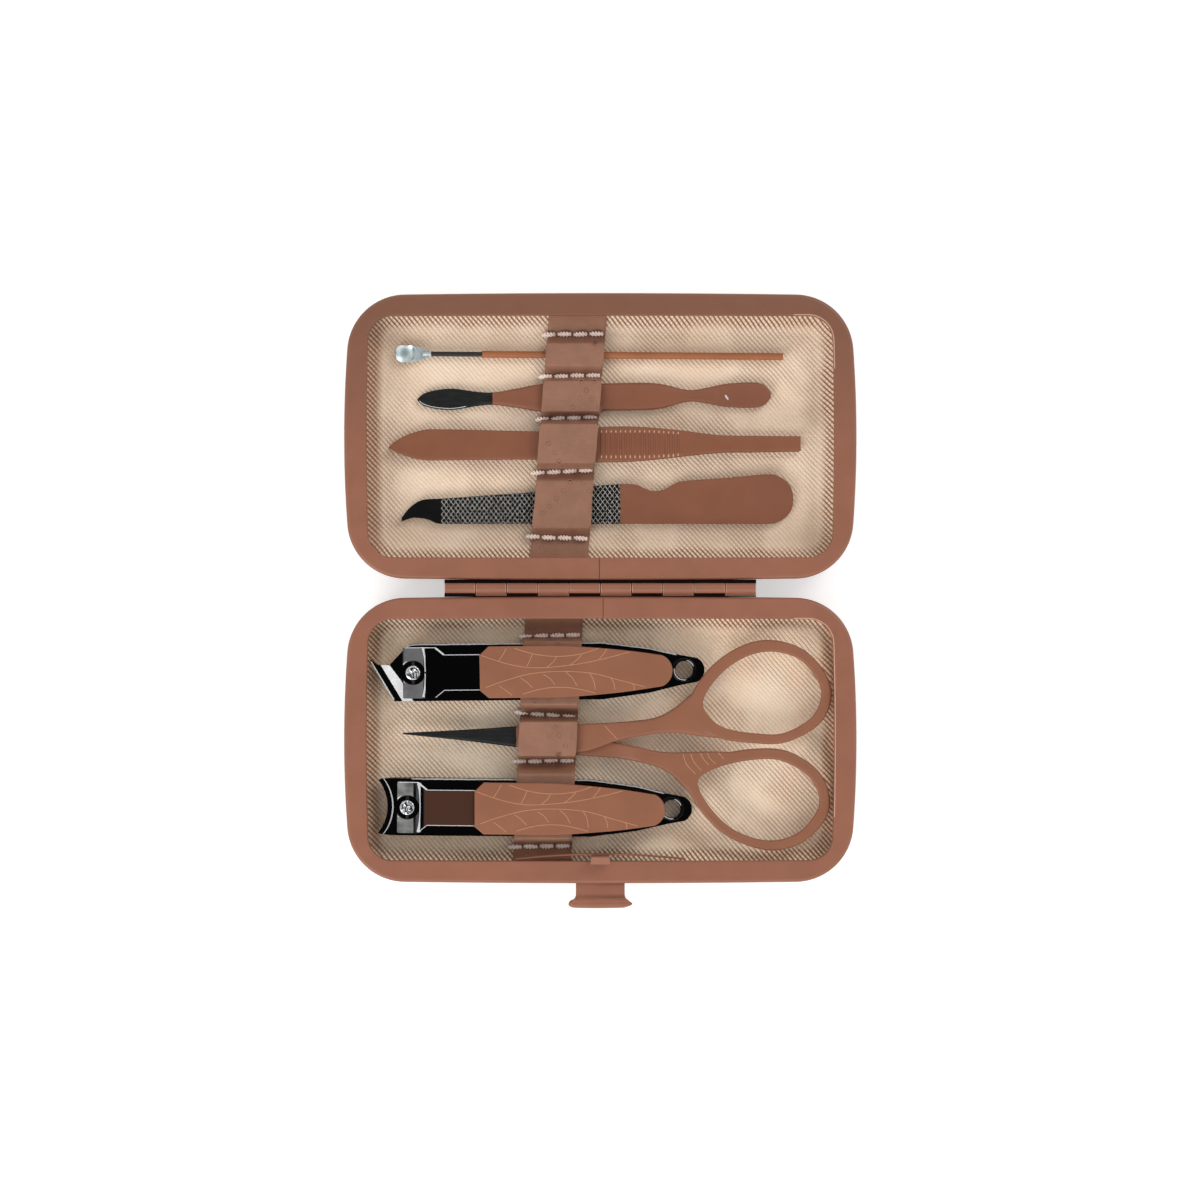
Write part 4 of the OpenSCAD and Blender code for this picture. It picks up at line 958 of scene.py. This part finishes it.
# Stations (x, upper y, lower y), and the upper arm's rise at each
TWEEZERS = [(-45.7, -0.5, -0.8), (-43, 1.5, -2.1), (-38.5, 3.1, -3.3), (-33, 3.3, -3.35), (-13, 2.8, -3.2),
            (-6, 3.1, -3.4), (0, 3.7, -3.8), (8, 3.75, -3.6), (17.7, 2.9, -2.6), (25.6, 1.9, -1.8),
            (34, 1.75, -1.65), (43.1, 1.65, -1.5)]
RISE = (0, 0, 0, 0.1, 1.35, 1.75, 2.15, 2.6, 2.95, 3.1, 3.15, 3.2)
TWEEZERS_Y = LID_Y - 1.5
for part, rise, thick, z, body in (("lower", [0] * len(RISE), 0.98, TOOL_Z, "tweezers"),
                                   ("upper", RISE, 1, TOOL_Z + 1, "tweezers_upper")):
    arm = bar([(x, high, low, r, r + thick) for (x, high, low), r in zip(TWEEZERS, rise)], 8, 24, 0.4)
    arm = solid("tweezers_" + part + "_look", moved(arm, 0, TWEEZERS_Y, z), tool_paint, body, "tool_paint",
                "tweezers_" + part + "_arm", angle=40)

# Grip ridges over the upper arm, each from stations (y, half width, height), and a painted highlight tick past both
# their ends
drop = surface_of(arm)
ridges, tick_highlights = [], []
for k in range(17):
    x = 0.1 + 1.03 * k + 0.17
    span = 2.55 - 0.03 * max(0, k - 9) ** 1.3
    rings = []
    for y, w, h in ((-span, 0.05, 0.0), (-span + 0.15, 0.15, 0.16), (0, 0.17, 0.2), (span - 0.15, 0.15, 0.16),
                    (span, 0.05, 0.0)):
        z = drop(x, TWEEZERS_Y + y)[0]
        section = ((1, -0.1), (0.85, h * 0.7), (0, h), (-0.85, h * 0.7), (-1, -0.1))
        rings.append([(x + w * a, TWEEZERS_Y + y, z + b) for a, b in section])
    ridges.append(loft(rings))
    for end in (-span - 0.1, span + 0.1):
        tick_highlights.append([(x, TWEEZERS_Y + end - 0.45), (x, TWEEZERS_Y + end + 0.35)])
solid("tweezers_ridges", merge(ridges), tool_paint, "tweezers_upper", "tool_paint")
ribbons("tweezers_ticks", tick_highlights, 0.26, arm, highlight_paint, "tweezers_upper", "tool_paint", 0.05, 0.2)

# Stations (x, upper y, lower y)
FILE = [(-43, 1.3, 0.5), (-41.7, 3, 1), (-40.3, 4.25, 1.3), (-38.7, 5.1, 1.2), (-37, 5.35, 0.8), (-35.5, 5.4, 0.15),
        (-33.5, 5.5, 0), (-24, 6.2, 0), (-14, 6.9, 0), (0, 8.3, 0), (6.5, 8.6, 0), (8.6, 8.1, 0), (10.5, 7.3, 0),
        (12.1, 7.1, 0), (14, 7.5, 0), (16.2, 8.7, 0), (18.2, 9.25, 0), (28, 10, 0), (36.4, 10.7, 0), (39.1, 10.0, 0.7),
        (41, 8.3, 2.4), (41.7, 6.3, 4.3)]
curve = spline(FILE, 6)
shape = [(x, low) for x, _, low in curve] + [(x, high) for x, high, _ in reversed(curve)]
solid("nail_file_look", moved(plate(shape, 0, 1.2, 0.15), 0, LID_Y - 18.6, TOOL_Z), file_paint, "nail_file",
      "tool_paint", "nail_file", angle=50)

# ---- clippers: local X runs from the cutting edge to the tail ----
LEVER_Z, LEVER_T, GRIP_H, GRIP_W = 6.3, 1.1, 0.8, 11.1
CLIPPERS = {
    "toenail": dict(place=(-49.7, 14.3, 0.52), post=9.55, shoulder=16.2, grip=23.8, tail=65.2, end=72.2,
                    chrome=toenail_chrome, glint=11.9),
    "fingernail": dict(place=(-48.1, -14.4, -0.6), post=6.7, shoulder=10.9, grip=21.1, tail=62, end=67.9,
                       chrome=fingernail_chrome, glint=9.2),
}
JAW_LAND_Z, LAND_TOP_Z, JAW_TOP_Z = 4.52, 4.60, 5.05


def to_case(kind, x, y):
    px, py, turn = CLIPPERS[kind]["place"]
    c, s = math.cos(math.radians(turn)), math.sin(math.radians(turn))
    return px + x * c - y * s, py + x * s + y * c


def placed(kind, data):
    px, py, turn = CLIPPERS[kind]["place"]
    return moved(data, px, py, TOOL_Z, turn)


def mark_ground(piece, depth, land, rise, slack):
    """Gives the sloping ground band the second material, a painted reflection that stays light, and keeps a crisp line
    round the ground faces.
    """
    for face in piece.data.polygons:
        spots = (piece.data.vertices[i].co / MM for i in face.vertices)
        if all(abs(v.z - TOOL_Z - LAND_TOP_Z - (depth(v) - land) * rise) < slack for v in spots):
            face.material_index = 1
    with editing(piece) as bm:
        for e in bm.edges:
            sharp = len(e.link_faces) == 2 and e.calc_face_angle(0) > math.radians(7)
            if sharp or len({f.material_index for f in e.link_faces}) > 1:
                e.smooth = False


def grind_slanted(piece):
    """Grinds a flat land and a sloping band along the toenail clipper's slanting upper jaw."""
    (xa, ya), (xb, yb) = to_case("toenail", 0, 3), to_case("toenail", 5.4, -6.15)
    long = math.hypot(xb - xa, yb - ya)
    ux, uy = (xb - xa) / long, (yb - ya) / long
    land, band = 1.45, 3.5
    profile = [(-2, JAW_LAND_Z - 0.05), (0, JAW_LAND_Z), (land, LAND_TOP_Z), (band, JAW_TOP_Z), (band, 9), (-2, 9)]
    boolean(piece, loft([[(xa + ux * t - uy * d, ya + uy * t + ux * d, TOOL_Z + z) for d, z in profile]
                         for t in (-4, long + 4)]))
    rise = (JAW_TOP_Z - LAND_TOP_Z) / (band - land)
    mark_ground(piece, lambda v: (v.y - ya) * ux - (v.x - xa) * uy, land, rise, 0.02)


def grind_hollow(piece):
    """Grinds a flat land and a narrow bevel along the fingernail clipper's hollow upper jaw."""
    x0, y0 = to_case("fingernail", 2.3 - 9, 0)
    land, band, top = 10.0, 10.55, JAW_TOP_Z + 0.1
    boolean(piece, loft([[(x0 + r * math.cos(a), y0 + r * math.sin(a), TOOL_Z + z) for a in turns(160)]
                         for r, z in ((8, JAW_LAND_Z), (land, LAND_TOP_Z), (band, top), (band, 9))]))
    rise = (top - LAND_TOP_Z) / (band - land)
    mark_ground(piece, lambda v: math.hypot(v.x - x0, v.y - y0), land, rise, 0.03)


def grip_outline(front, back, r=3.6):
    """The painted grip from its front edge to its rounded tail of radius r."""
    w = GRIP_W / 2
    angles = (math.radians(-68 + 136 * k / 24) for k in range(25))
    tail = [(back - r + r * math.cos(a), r * math.sin(a)) for a in angles]
    low = spline([(front + 12, -w), (back - 22, -w + 0.1), (back - 11, -w + 1), tail[0]], 8)
    high = [(x, -y) for x, y in reversed(low)]
    corner = [(front + 2, w), (front, w - 1.9), (front + 0.1, -w + 1.6)]
    return [(front + 2, -w)] + low[:-1] + tail + high[1:] + corner


# The grip's veins, given in shares of its length and half width
VEINS = (
    ((0.0, 0.68), (0.14, 0.33), (0.28, 0.16), (0.46, 0.24), (0.62, 0.44), (0.78, 0.74)),
    ((0.03, -0.6), (0.12, -0.36), (0.26, -0.08), (0.41, 0.01), (0.58, -0.07), (0.72, -0.34), (0.86, -0.62)),
    ((0.18, 0.92), (0.29, 0.68), (0.41, 0.59), (0.53, 0.68), (0.62, 0.9)),
    ((0.22, -0.86), (0.32, -0.66), (0.41, -0.6), (0.5, -0.66), (0.6, -0.84)),
    ((0.275, 0.7), (0.265, 0.5), (0.245, 0.2)), ((0.4, 0.6), (0.385, 0.4), (0.35, 0.17)),
    ((0.53, 0.66), (0.51, 0.48), (0.47, 0.25)), ((0.66, 0.86), (0.645, 0.68), (0.62, 0.46)),
    ((0.14, 0.92), (0.125, 0.7), (0.1, 0.42)),
    ((0.1, -0.52), (0.135, -0.7), (0.17, -0.9)), ((0.21, -0.22), (0.245, -0.4), (0.275, -0.62)),
    ((0.33, -0.1), (0.365, -0.26), (0.39, -0.5)), ((0.446, -0.02), (0.48, -0.24), (0.505, -0.56)),
    ((0.57, -0.06), (0.59, -0.34), (0.6, -0.72)), ((0.68, -0.26), (0.695, -0.46), (0.7, -0.7)),
    ((0.79, -0.48), (0.8, -0.6), (0.8, -0.74)),
)


def post_look(kind, seed):
    """The post with its domed and hammered head."""
    top = LEVER_Z + LEVER_T + 0.8
    profile = [(0.01, -0.2), (1.9, -0.2), (1.9, 0), (1.15, 0), (1.15, LEVER_Z - 0.6), (1.6, LEVER_Z - 0.6),
               (1.6, top - 0.4), (1.57, top - 0.2), (1.48, top - 0.08), (1.36, top - 0.03)]
    rings = []
    for r, z in profile + [(r, top) for r in (1.2, 1, 0.8, 0.6, 0.4, 0.2, 0.01)]:
        ring = []
        for a in turns(40):
            x, y = r * math.cos(a), r * math.sin(a)
            dent = 0.0
            if z > top - 0.4:
                dent = 0.3 * max(0, noise.noise(Vector((x * 1.7 + 4, y * 1.7, seed))) + 0.12)
            ring.append((CLIPPERS[kind]["post"] + x, y, z - dent))
        rings.append(ring)
    return placed(kind, loft(rings))


for kind, grind, seed in (("toenail", grind_slanted, 2.2), ("fingernail", grind_hollow, 5.1)):
    body, upper_body, lever = kind + "_clipper", kind + "_upper", kind + "_lever"
    post_x, back, front, tail, end = (CLIPPERS[kind][key] for key in ("post", "shoulder", "grip", "tail", "end"))
    low_arm = bevelled_copy(kind + "_lower_arm", black_chrome, body, "black_chrome", 0.14)
    top_arm = bevelled_copy(kind + "_upper_arm", black_chrome, upper_body, "black_chrome", 0.12, highlight_metal, grind)
    top_arm.modifiers["Edges"].material = 0
    solid(kind + "_post_look", post_look(kind, seed), steel, body, "steel", kind + "_post", angle=40)
    rivet = bevelled_copy(kind + "_rivet", black_chrome, body, "black_chrome", 0.04)
    lever_plate = bevelled_copy(kind + "_lever", CLIPPERS[kind]["chrome"], lever, "black_chrome", 0.16)
    bevelled_copy(kind + "_cross_pin", dark_steel_and_shade, lever, "steel", 0.05)
    grip = plate(grip_outline(front, tail), LEVER_Z + LEVER_T, LEVER_Z + LEVER_T + GRIP_H, 0.25)
    grip = solid(kind + "_grip_look", placed(kind, grip), grip_paint, lever, "tool_paint", kind + "_grip", angle=50)
    veins = [[to_case(kind, front + u * (tail - front), v * GRIP_W / 2) for u, v in spline(line, 8)] for line in VEINS]
    ribbons(kind + "_grip_veins", veins, 0.15, grip, line_metal, lever, "tool_paint")

    def edge(part, lines, width, carrier, rides, *settings):
        """Painted highlights along lit edges, from lines in the clipper's own X and Y."""
        lines = [[to_case(kind, x, y) for x, y in line] for line in lines]
        ribbons(f"{kind}_{part}", lines, width, carrier, highlight_metal, rides, "black_chrome", *settings)

    def arc(x, r, first, last):
        """An arc in degrees round a point of the clipper's middle line."""
        return [(x + r * math.cos(math.radians(a)), r * math.sin(math.radians(a))) for a in range(first, last, 8)]

    head, stem, glint = 5.36, 3.78, CLIPPERS[kind]["glint"]
    upper = [(post_x - 1.8, head), (back - 1.9, head), (back + 0.05, stem), (front + 0.2, stem)]
    lower = [(back - 1.9, -head), (back + 0.05, -stem), (front + 0.2, -stem)]
    saddle = [(glint + 0.25 * math.sin(math.pi * k / 20), -5.25 + 10.5 * k / 20) for k in range(21)]
    edge("lever_edges", [upper, lower], 0.14, lever_plate, lever, 0.02, 0.25)
    edge("shoulder_edge", [upper[1:3]], 0.36, lever_plate, lever, 0.04, 0.2)
    edge("saddle_edge", [saddle], 0.2, lever_plate, lever, 0.03, 0.2, 5.0)
    edge("bore_edge", [arc(post_x, 2.82, 118, 236), arc(post_x, 3.2, 150, 222)], 0.12, lever_plate, lever, 0.03, 0.2)
    edge("rivet_edge", [arc(end - 4.4, 2.15, 170, 290), arc(end - 4.4, 2.15, 20, 80)], 0.16, rivet, body, 0.03, 0.2)
    # A painted highlight along the arms' lit long edge
    x0, x1 = to_case(kind, 7.5, 0)[0], to_case(kind, end - 6, 0)[0]
    rim = rim_path(low_arm, x0, x1, CLIPPERS[kind]["place"][1], 1, 0.12)
    ribbons(kind + "_arm_edge", [rim], 0.24, top_arm, highlight_metal, upper_body, "black_chrome")
    if kind == "toenail":
        edge("cutting_edge", [[(0.35 + 5.0 * t, 2.5 - 8.5 * t) for t in (0, 0.25, 0.5, 0.75, 0.98)]], 0.26, top_arm,
             upper_body, 0.03, 0.2)

# ---- scissors: drawn flat, then tilted about the pivot ----
PIVOT_X, TILT, SCISSOR_Z = -9.5, 1.8, TOOL_Z + 3.15
PART_GAP, RING_T = 0.03, 2.1
BLADE_Z, RING_Z = 1.3 + PART_GAP, RING_T / 2
# Stations (x, upper y, lower y) of each half: seven of the blade and seven of the shank
UPPER_BAR = [(-42.6, 1.35, 1.05), (-30, 2.0, -0.1), (-18, 2.8, -1.6), (-12, 3.0, -2.6), (-7, 3.2, -3.0),
             (-2, 3.4, -2.3), (3.3, 3.7, -0.4), (7.5, 4.0, 0.5), (12.2, 4.8, 1.2), (16, 6.8, 1.35),
             (19.4, 9.6, 0.95), (21.6, 11.4, 0.65), (24, 9, 0.4), (28, 4, 0.05)]
LOWER_BAR = [(-42.6, 1.3, 1.0), (-30, 1.8, -0.3), (-18, 2.4, -1.8), (-12, 2.6, -2.8), (-7, 2.4, -3.3),
             (-2, 1.4, -3.7), (3.3, -0.7, -4.1), (7.5, -1.5, -4.7), (12, -2.5, -5.9), (15.4, -2.8, -7.7),
             (18.3, -2.75, -10.6), (20.3, -2.7, -12.4), (23.5, -2.6, -11), (28.5, -2.7, -6.5)]
UPPER_OUT = [(20.3, 3.5), (25.5, 0.3), (33, -0.8), (40, -0.6), (47, 3.2), (49.7, 8.5), (48.8, 13.6), (44, 19.2),
             (37, 21.4), (30.5, 20.2), (24, 15.8), (19.4, 9)]
UPPER_IN = [(23.4, 4.9), (27, 2.4), (33.5, 1.3), (39.5, 1.4), (45.3, 4.6), (47.5, 9), (46.8, 12.5), (43, 17.1),
            (37, 18.9), (31, 17.6), (25.5, 13.6), (22.2, 8.4)]
LOWER_OUT = [(18.8, -9.2), (21, -14.5), (27, -20.6), (35.7, -23.8), (43, -22.4), (48.2, -17.5), (49.4, -12.6),
             (47.3, -7.2), (42, -3.2), (36.5, -1.9), (28, -2.7), (21.5, -5.2)]
LOWER_IN = [(21, -9.4), (23.3, -14.2), (28.5, -19.3), (35.7, -21.7), (42, -20.4), (46.1, -16.3), (47.1, -12.6),
            (45.2, -8.4), (41, -5.4), (36.3, -4.2), (29, -5), (23.3, -6.9)]


def tilted(data):
    c, s = math.cos(math.radians(TILT)), math.sin(math.radians(TILT))
    return [(PIVOT_X + (x - PIVOT_X) * c - z * s, y, SCISSOR_Z + (x - PIVOT_X) * s + z * c)
            for x, y, z in data[0]], data[1]


def hoop(outer, inner, thick, edge):
    """A finger ring between two closed curves, with rounded edges."""
    side = [(edge * (1 - math.cos(a)), -thick / 2 + edge * (1 - math.sin(a))) for a in quarter(4)]
    rings = []
    for (xo, yo), (xi, yi) in zip(outer, inner):
        wide = math.hypot(xi - xo, yi - yo)
        ux, uy = (xi - xo) / wide, (yi - yo) / wide
        section = side + [(wide - d, z) for d, z in reversed(side)]
        section += [(wide - d, -z) for d, z in side] + [(d, -z) for d, z in reversed(side)]
        rings.append([(xo + ux * d, yo + uy * d, z) for d, z in section])
    return loft(rings, closed=True)


def scissor_half(part, side, plan, out, inn, body):
    """A half whose blade lies on one side of the parting face: +1 over it, -1 under it."""
    blade = [sorted((side * PART_GAP, side * top)) for top in (0.4, 0.9) + (BLADE_Z,) * 5]
    stations = [(*place, *z) for place, z in zip(plan, blade + [(-RING_Z, RING_Z)] * 7)]
    outer, inner = ring_spline(out, 8), ring_spline(inn, 8)
    piece = make(f"scissors_{part}_look", tilted(bar(stations, 6, 20, 0.4)), blade_paint, body, "tool_paint",
                 f"scissors_{part}_half")
    boolean(piece, tilted(loft([lift(inner, -4), lift(inner, 4)])))
    boolean(piece, tilted(hoop(outer, inner, RING_T, 0.55)), "UNION")
    return shade_by_angle(piece, 38)


upper_half = scissor_half("upper", 1, UPPER_BAR, UPPER_OUT, UPPER_IN, "scissors_upper")
lower_half = scissor_half("lower", -1, LOWER_BAR, LOWER_OUT, LOWER_IN, "scissors")
bevelled_copy("scissors_screw", steel, "scissors", "steel", 0.08)
# Thin raised lines on the shanks
LOWER_ARCS = (((17.8, -3.1), (18.6, -5.4), (20.5, -7.4)), ((19.4, -3.0), (20.2, -4.9), (21.8, -6.7)),
              ((21.5, -2.9), (22.3, -4.3), (23.4, -5.5)), ((22.9, -2.9), (23.7, -4.2), (24.8, -5.2)),
              ((25.4, -2.8), (26.6, -4.2)))
for name, lines, piece, body in (("lower", LOWER_ARCS, lower_half, "scissors"),
                                 ("upper", (((0.9, 3.0), (2.3, 1.5), (3.7, 0.0)),), upper_half, "scissors_upper")):
    ribbons(f"scissors_{name}_lines", [spline(line, 8) for line in lines], 0.15, piece, line_metal, body, "tool_paint")

# ---- stage ----
PIXEL = 0.2144 * MM
SPAN = 1200 * PIXEL
LENS, SENSOR = 100.0, 36.0
WHITE, WARM = (1, 1, 1), (1, 0.98, 0.95)
camera_data = bpy.data.cameras.new("camera")
camera_data.lens, camera_data.sensor_width = LENS, SENSOR
camera_data.clip_start = 0.01
camera = bpy.data.objects.new("camera", camera_data)
camera.location = (-0.3 * PIXEL, 140 * PIXEL, SPAN * LENS / SENSOR + HALF_H * MM)
scene.collection.objects.link(camera)
scene.camera = camera

floor_mesh = bpy.data.meshes.new("floor")
floor_mesh.from_pydata(lift(rect(-3, -3, 3, 3), 0), [], [(0, 1, 2, 3)])
floor = bpy.data.objects.new("floor", floor_mesh)
scene.collection.objects.link(floor)
# A white floor that also glows for the camera and for reflections
ground = Material("floor_white", (0.8, 0.8, 0.8, 1), 0.9, Specular_IOR_Level=0.1)
floor_mesh.materials.append(ground.material)
seen = ground.math("MAXIMUM", ground.add("LightPath", "Is Camera Ray"), ground.add("LightPath", "Is Glossy Ray"))
glow = ground.add("Emission", Color=WHITE + (1,), Strength=ground.times(seen, 0.5))
both = ground.numbered("AddShader", 0, {}, {0: ground.shader.outputs[0], 1: glow})
ground.feed(ground.tree.nodes["Material Output"].inputs["Surface"], both)


def area_light(name, place, size, watts, color):
    """A lamp that looks at the middle of the open case."""
    data = bpy.data.lights.new(name, "AREA")
    data.shape, data.size, data.size_y = "RECTANGLE", size[0], size[1]
    data.energy, data.color = watts, color
    lamp = bpy.data.objects.new(name, data)
    lamp.location = place
    lamp.rotation_euler = (Vector((0, 0.03, 0)) - Vector(place)).to_track_quat("-Z", "Y").to_euler()
    scene.collection.objects.link(lamp)


area_light("key", (0.75, 0.85, 0.85), (0.5, 0.5), 4.4, WARM)
area_light("left_front", (-0.7, -0.8, 0.75), (0.6, 0.6), 6.4, WARM)
area_light("front", (0.2, -1.0, 0.6), (0.9, 0.5), 1.6, WHITE)

# An even white room, whose ceiling goes dark in reflections
world = bpy.data.worlds.new("studio")
scene.world = world
world.use_nodes = True
room = Graph(world.node_tree)
height = room.add("SeparateXYZ", "Z", Vector=room.add("TexCoord", "Generated"))
ceiling = room.ramp(height, 0.80, 0.95, 1.0, 0.03, "LINEAR")
level = room.pick(room.add("LightPath", "Is Glossy Ray"), 0.74, ceiling)
background = room.tree.nodes["Background"]
room.feed(background.inputs["Strength"], room.pick(room.add("LightPath", "Is Camera Ray"), level, 1.0))
room.feed(background.inputs["Color"], WHITE + (1,))

scene.view_settings.view_transform = "Standard"
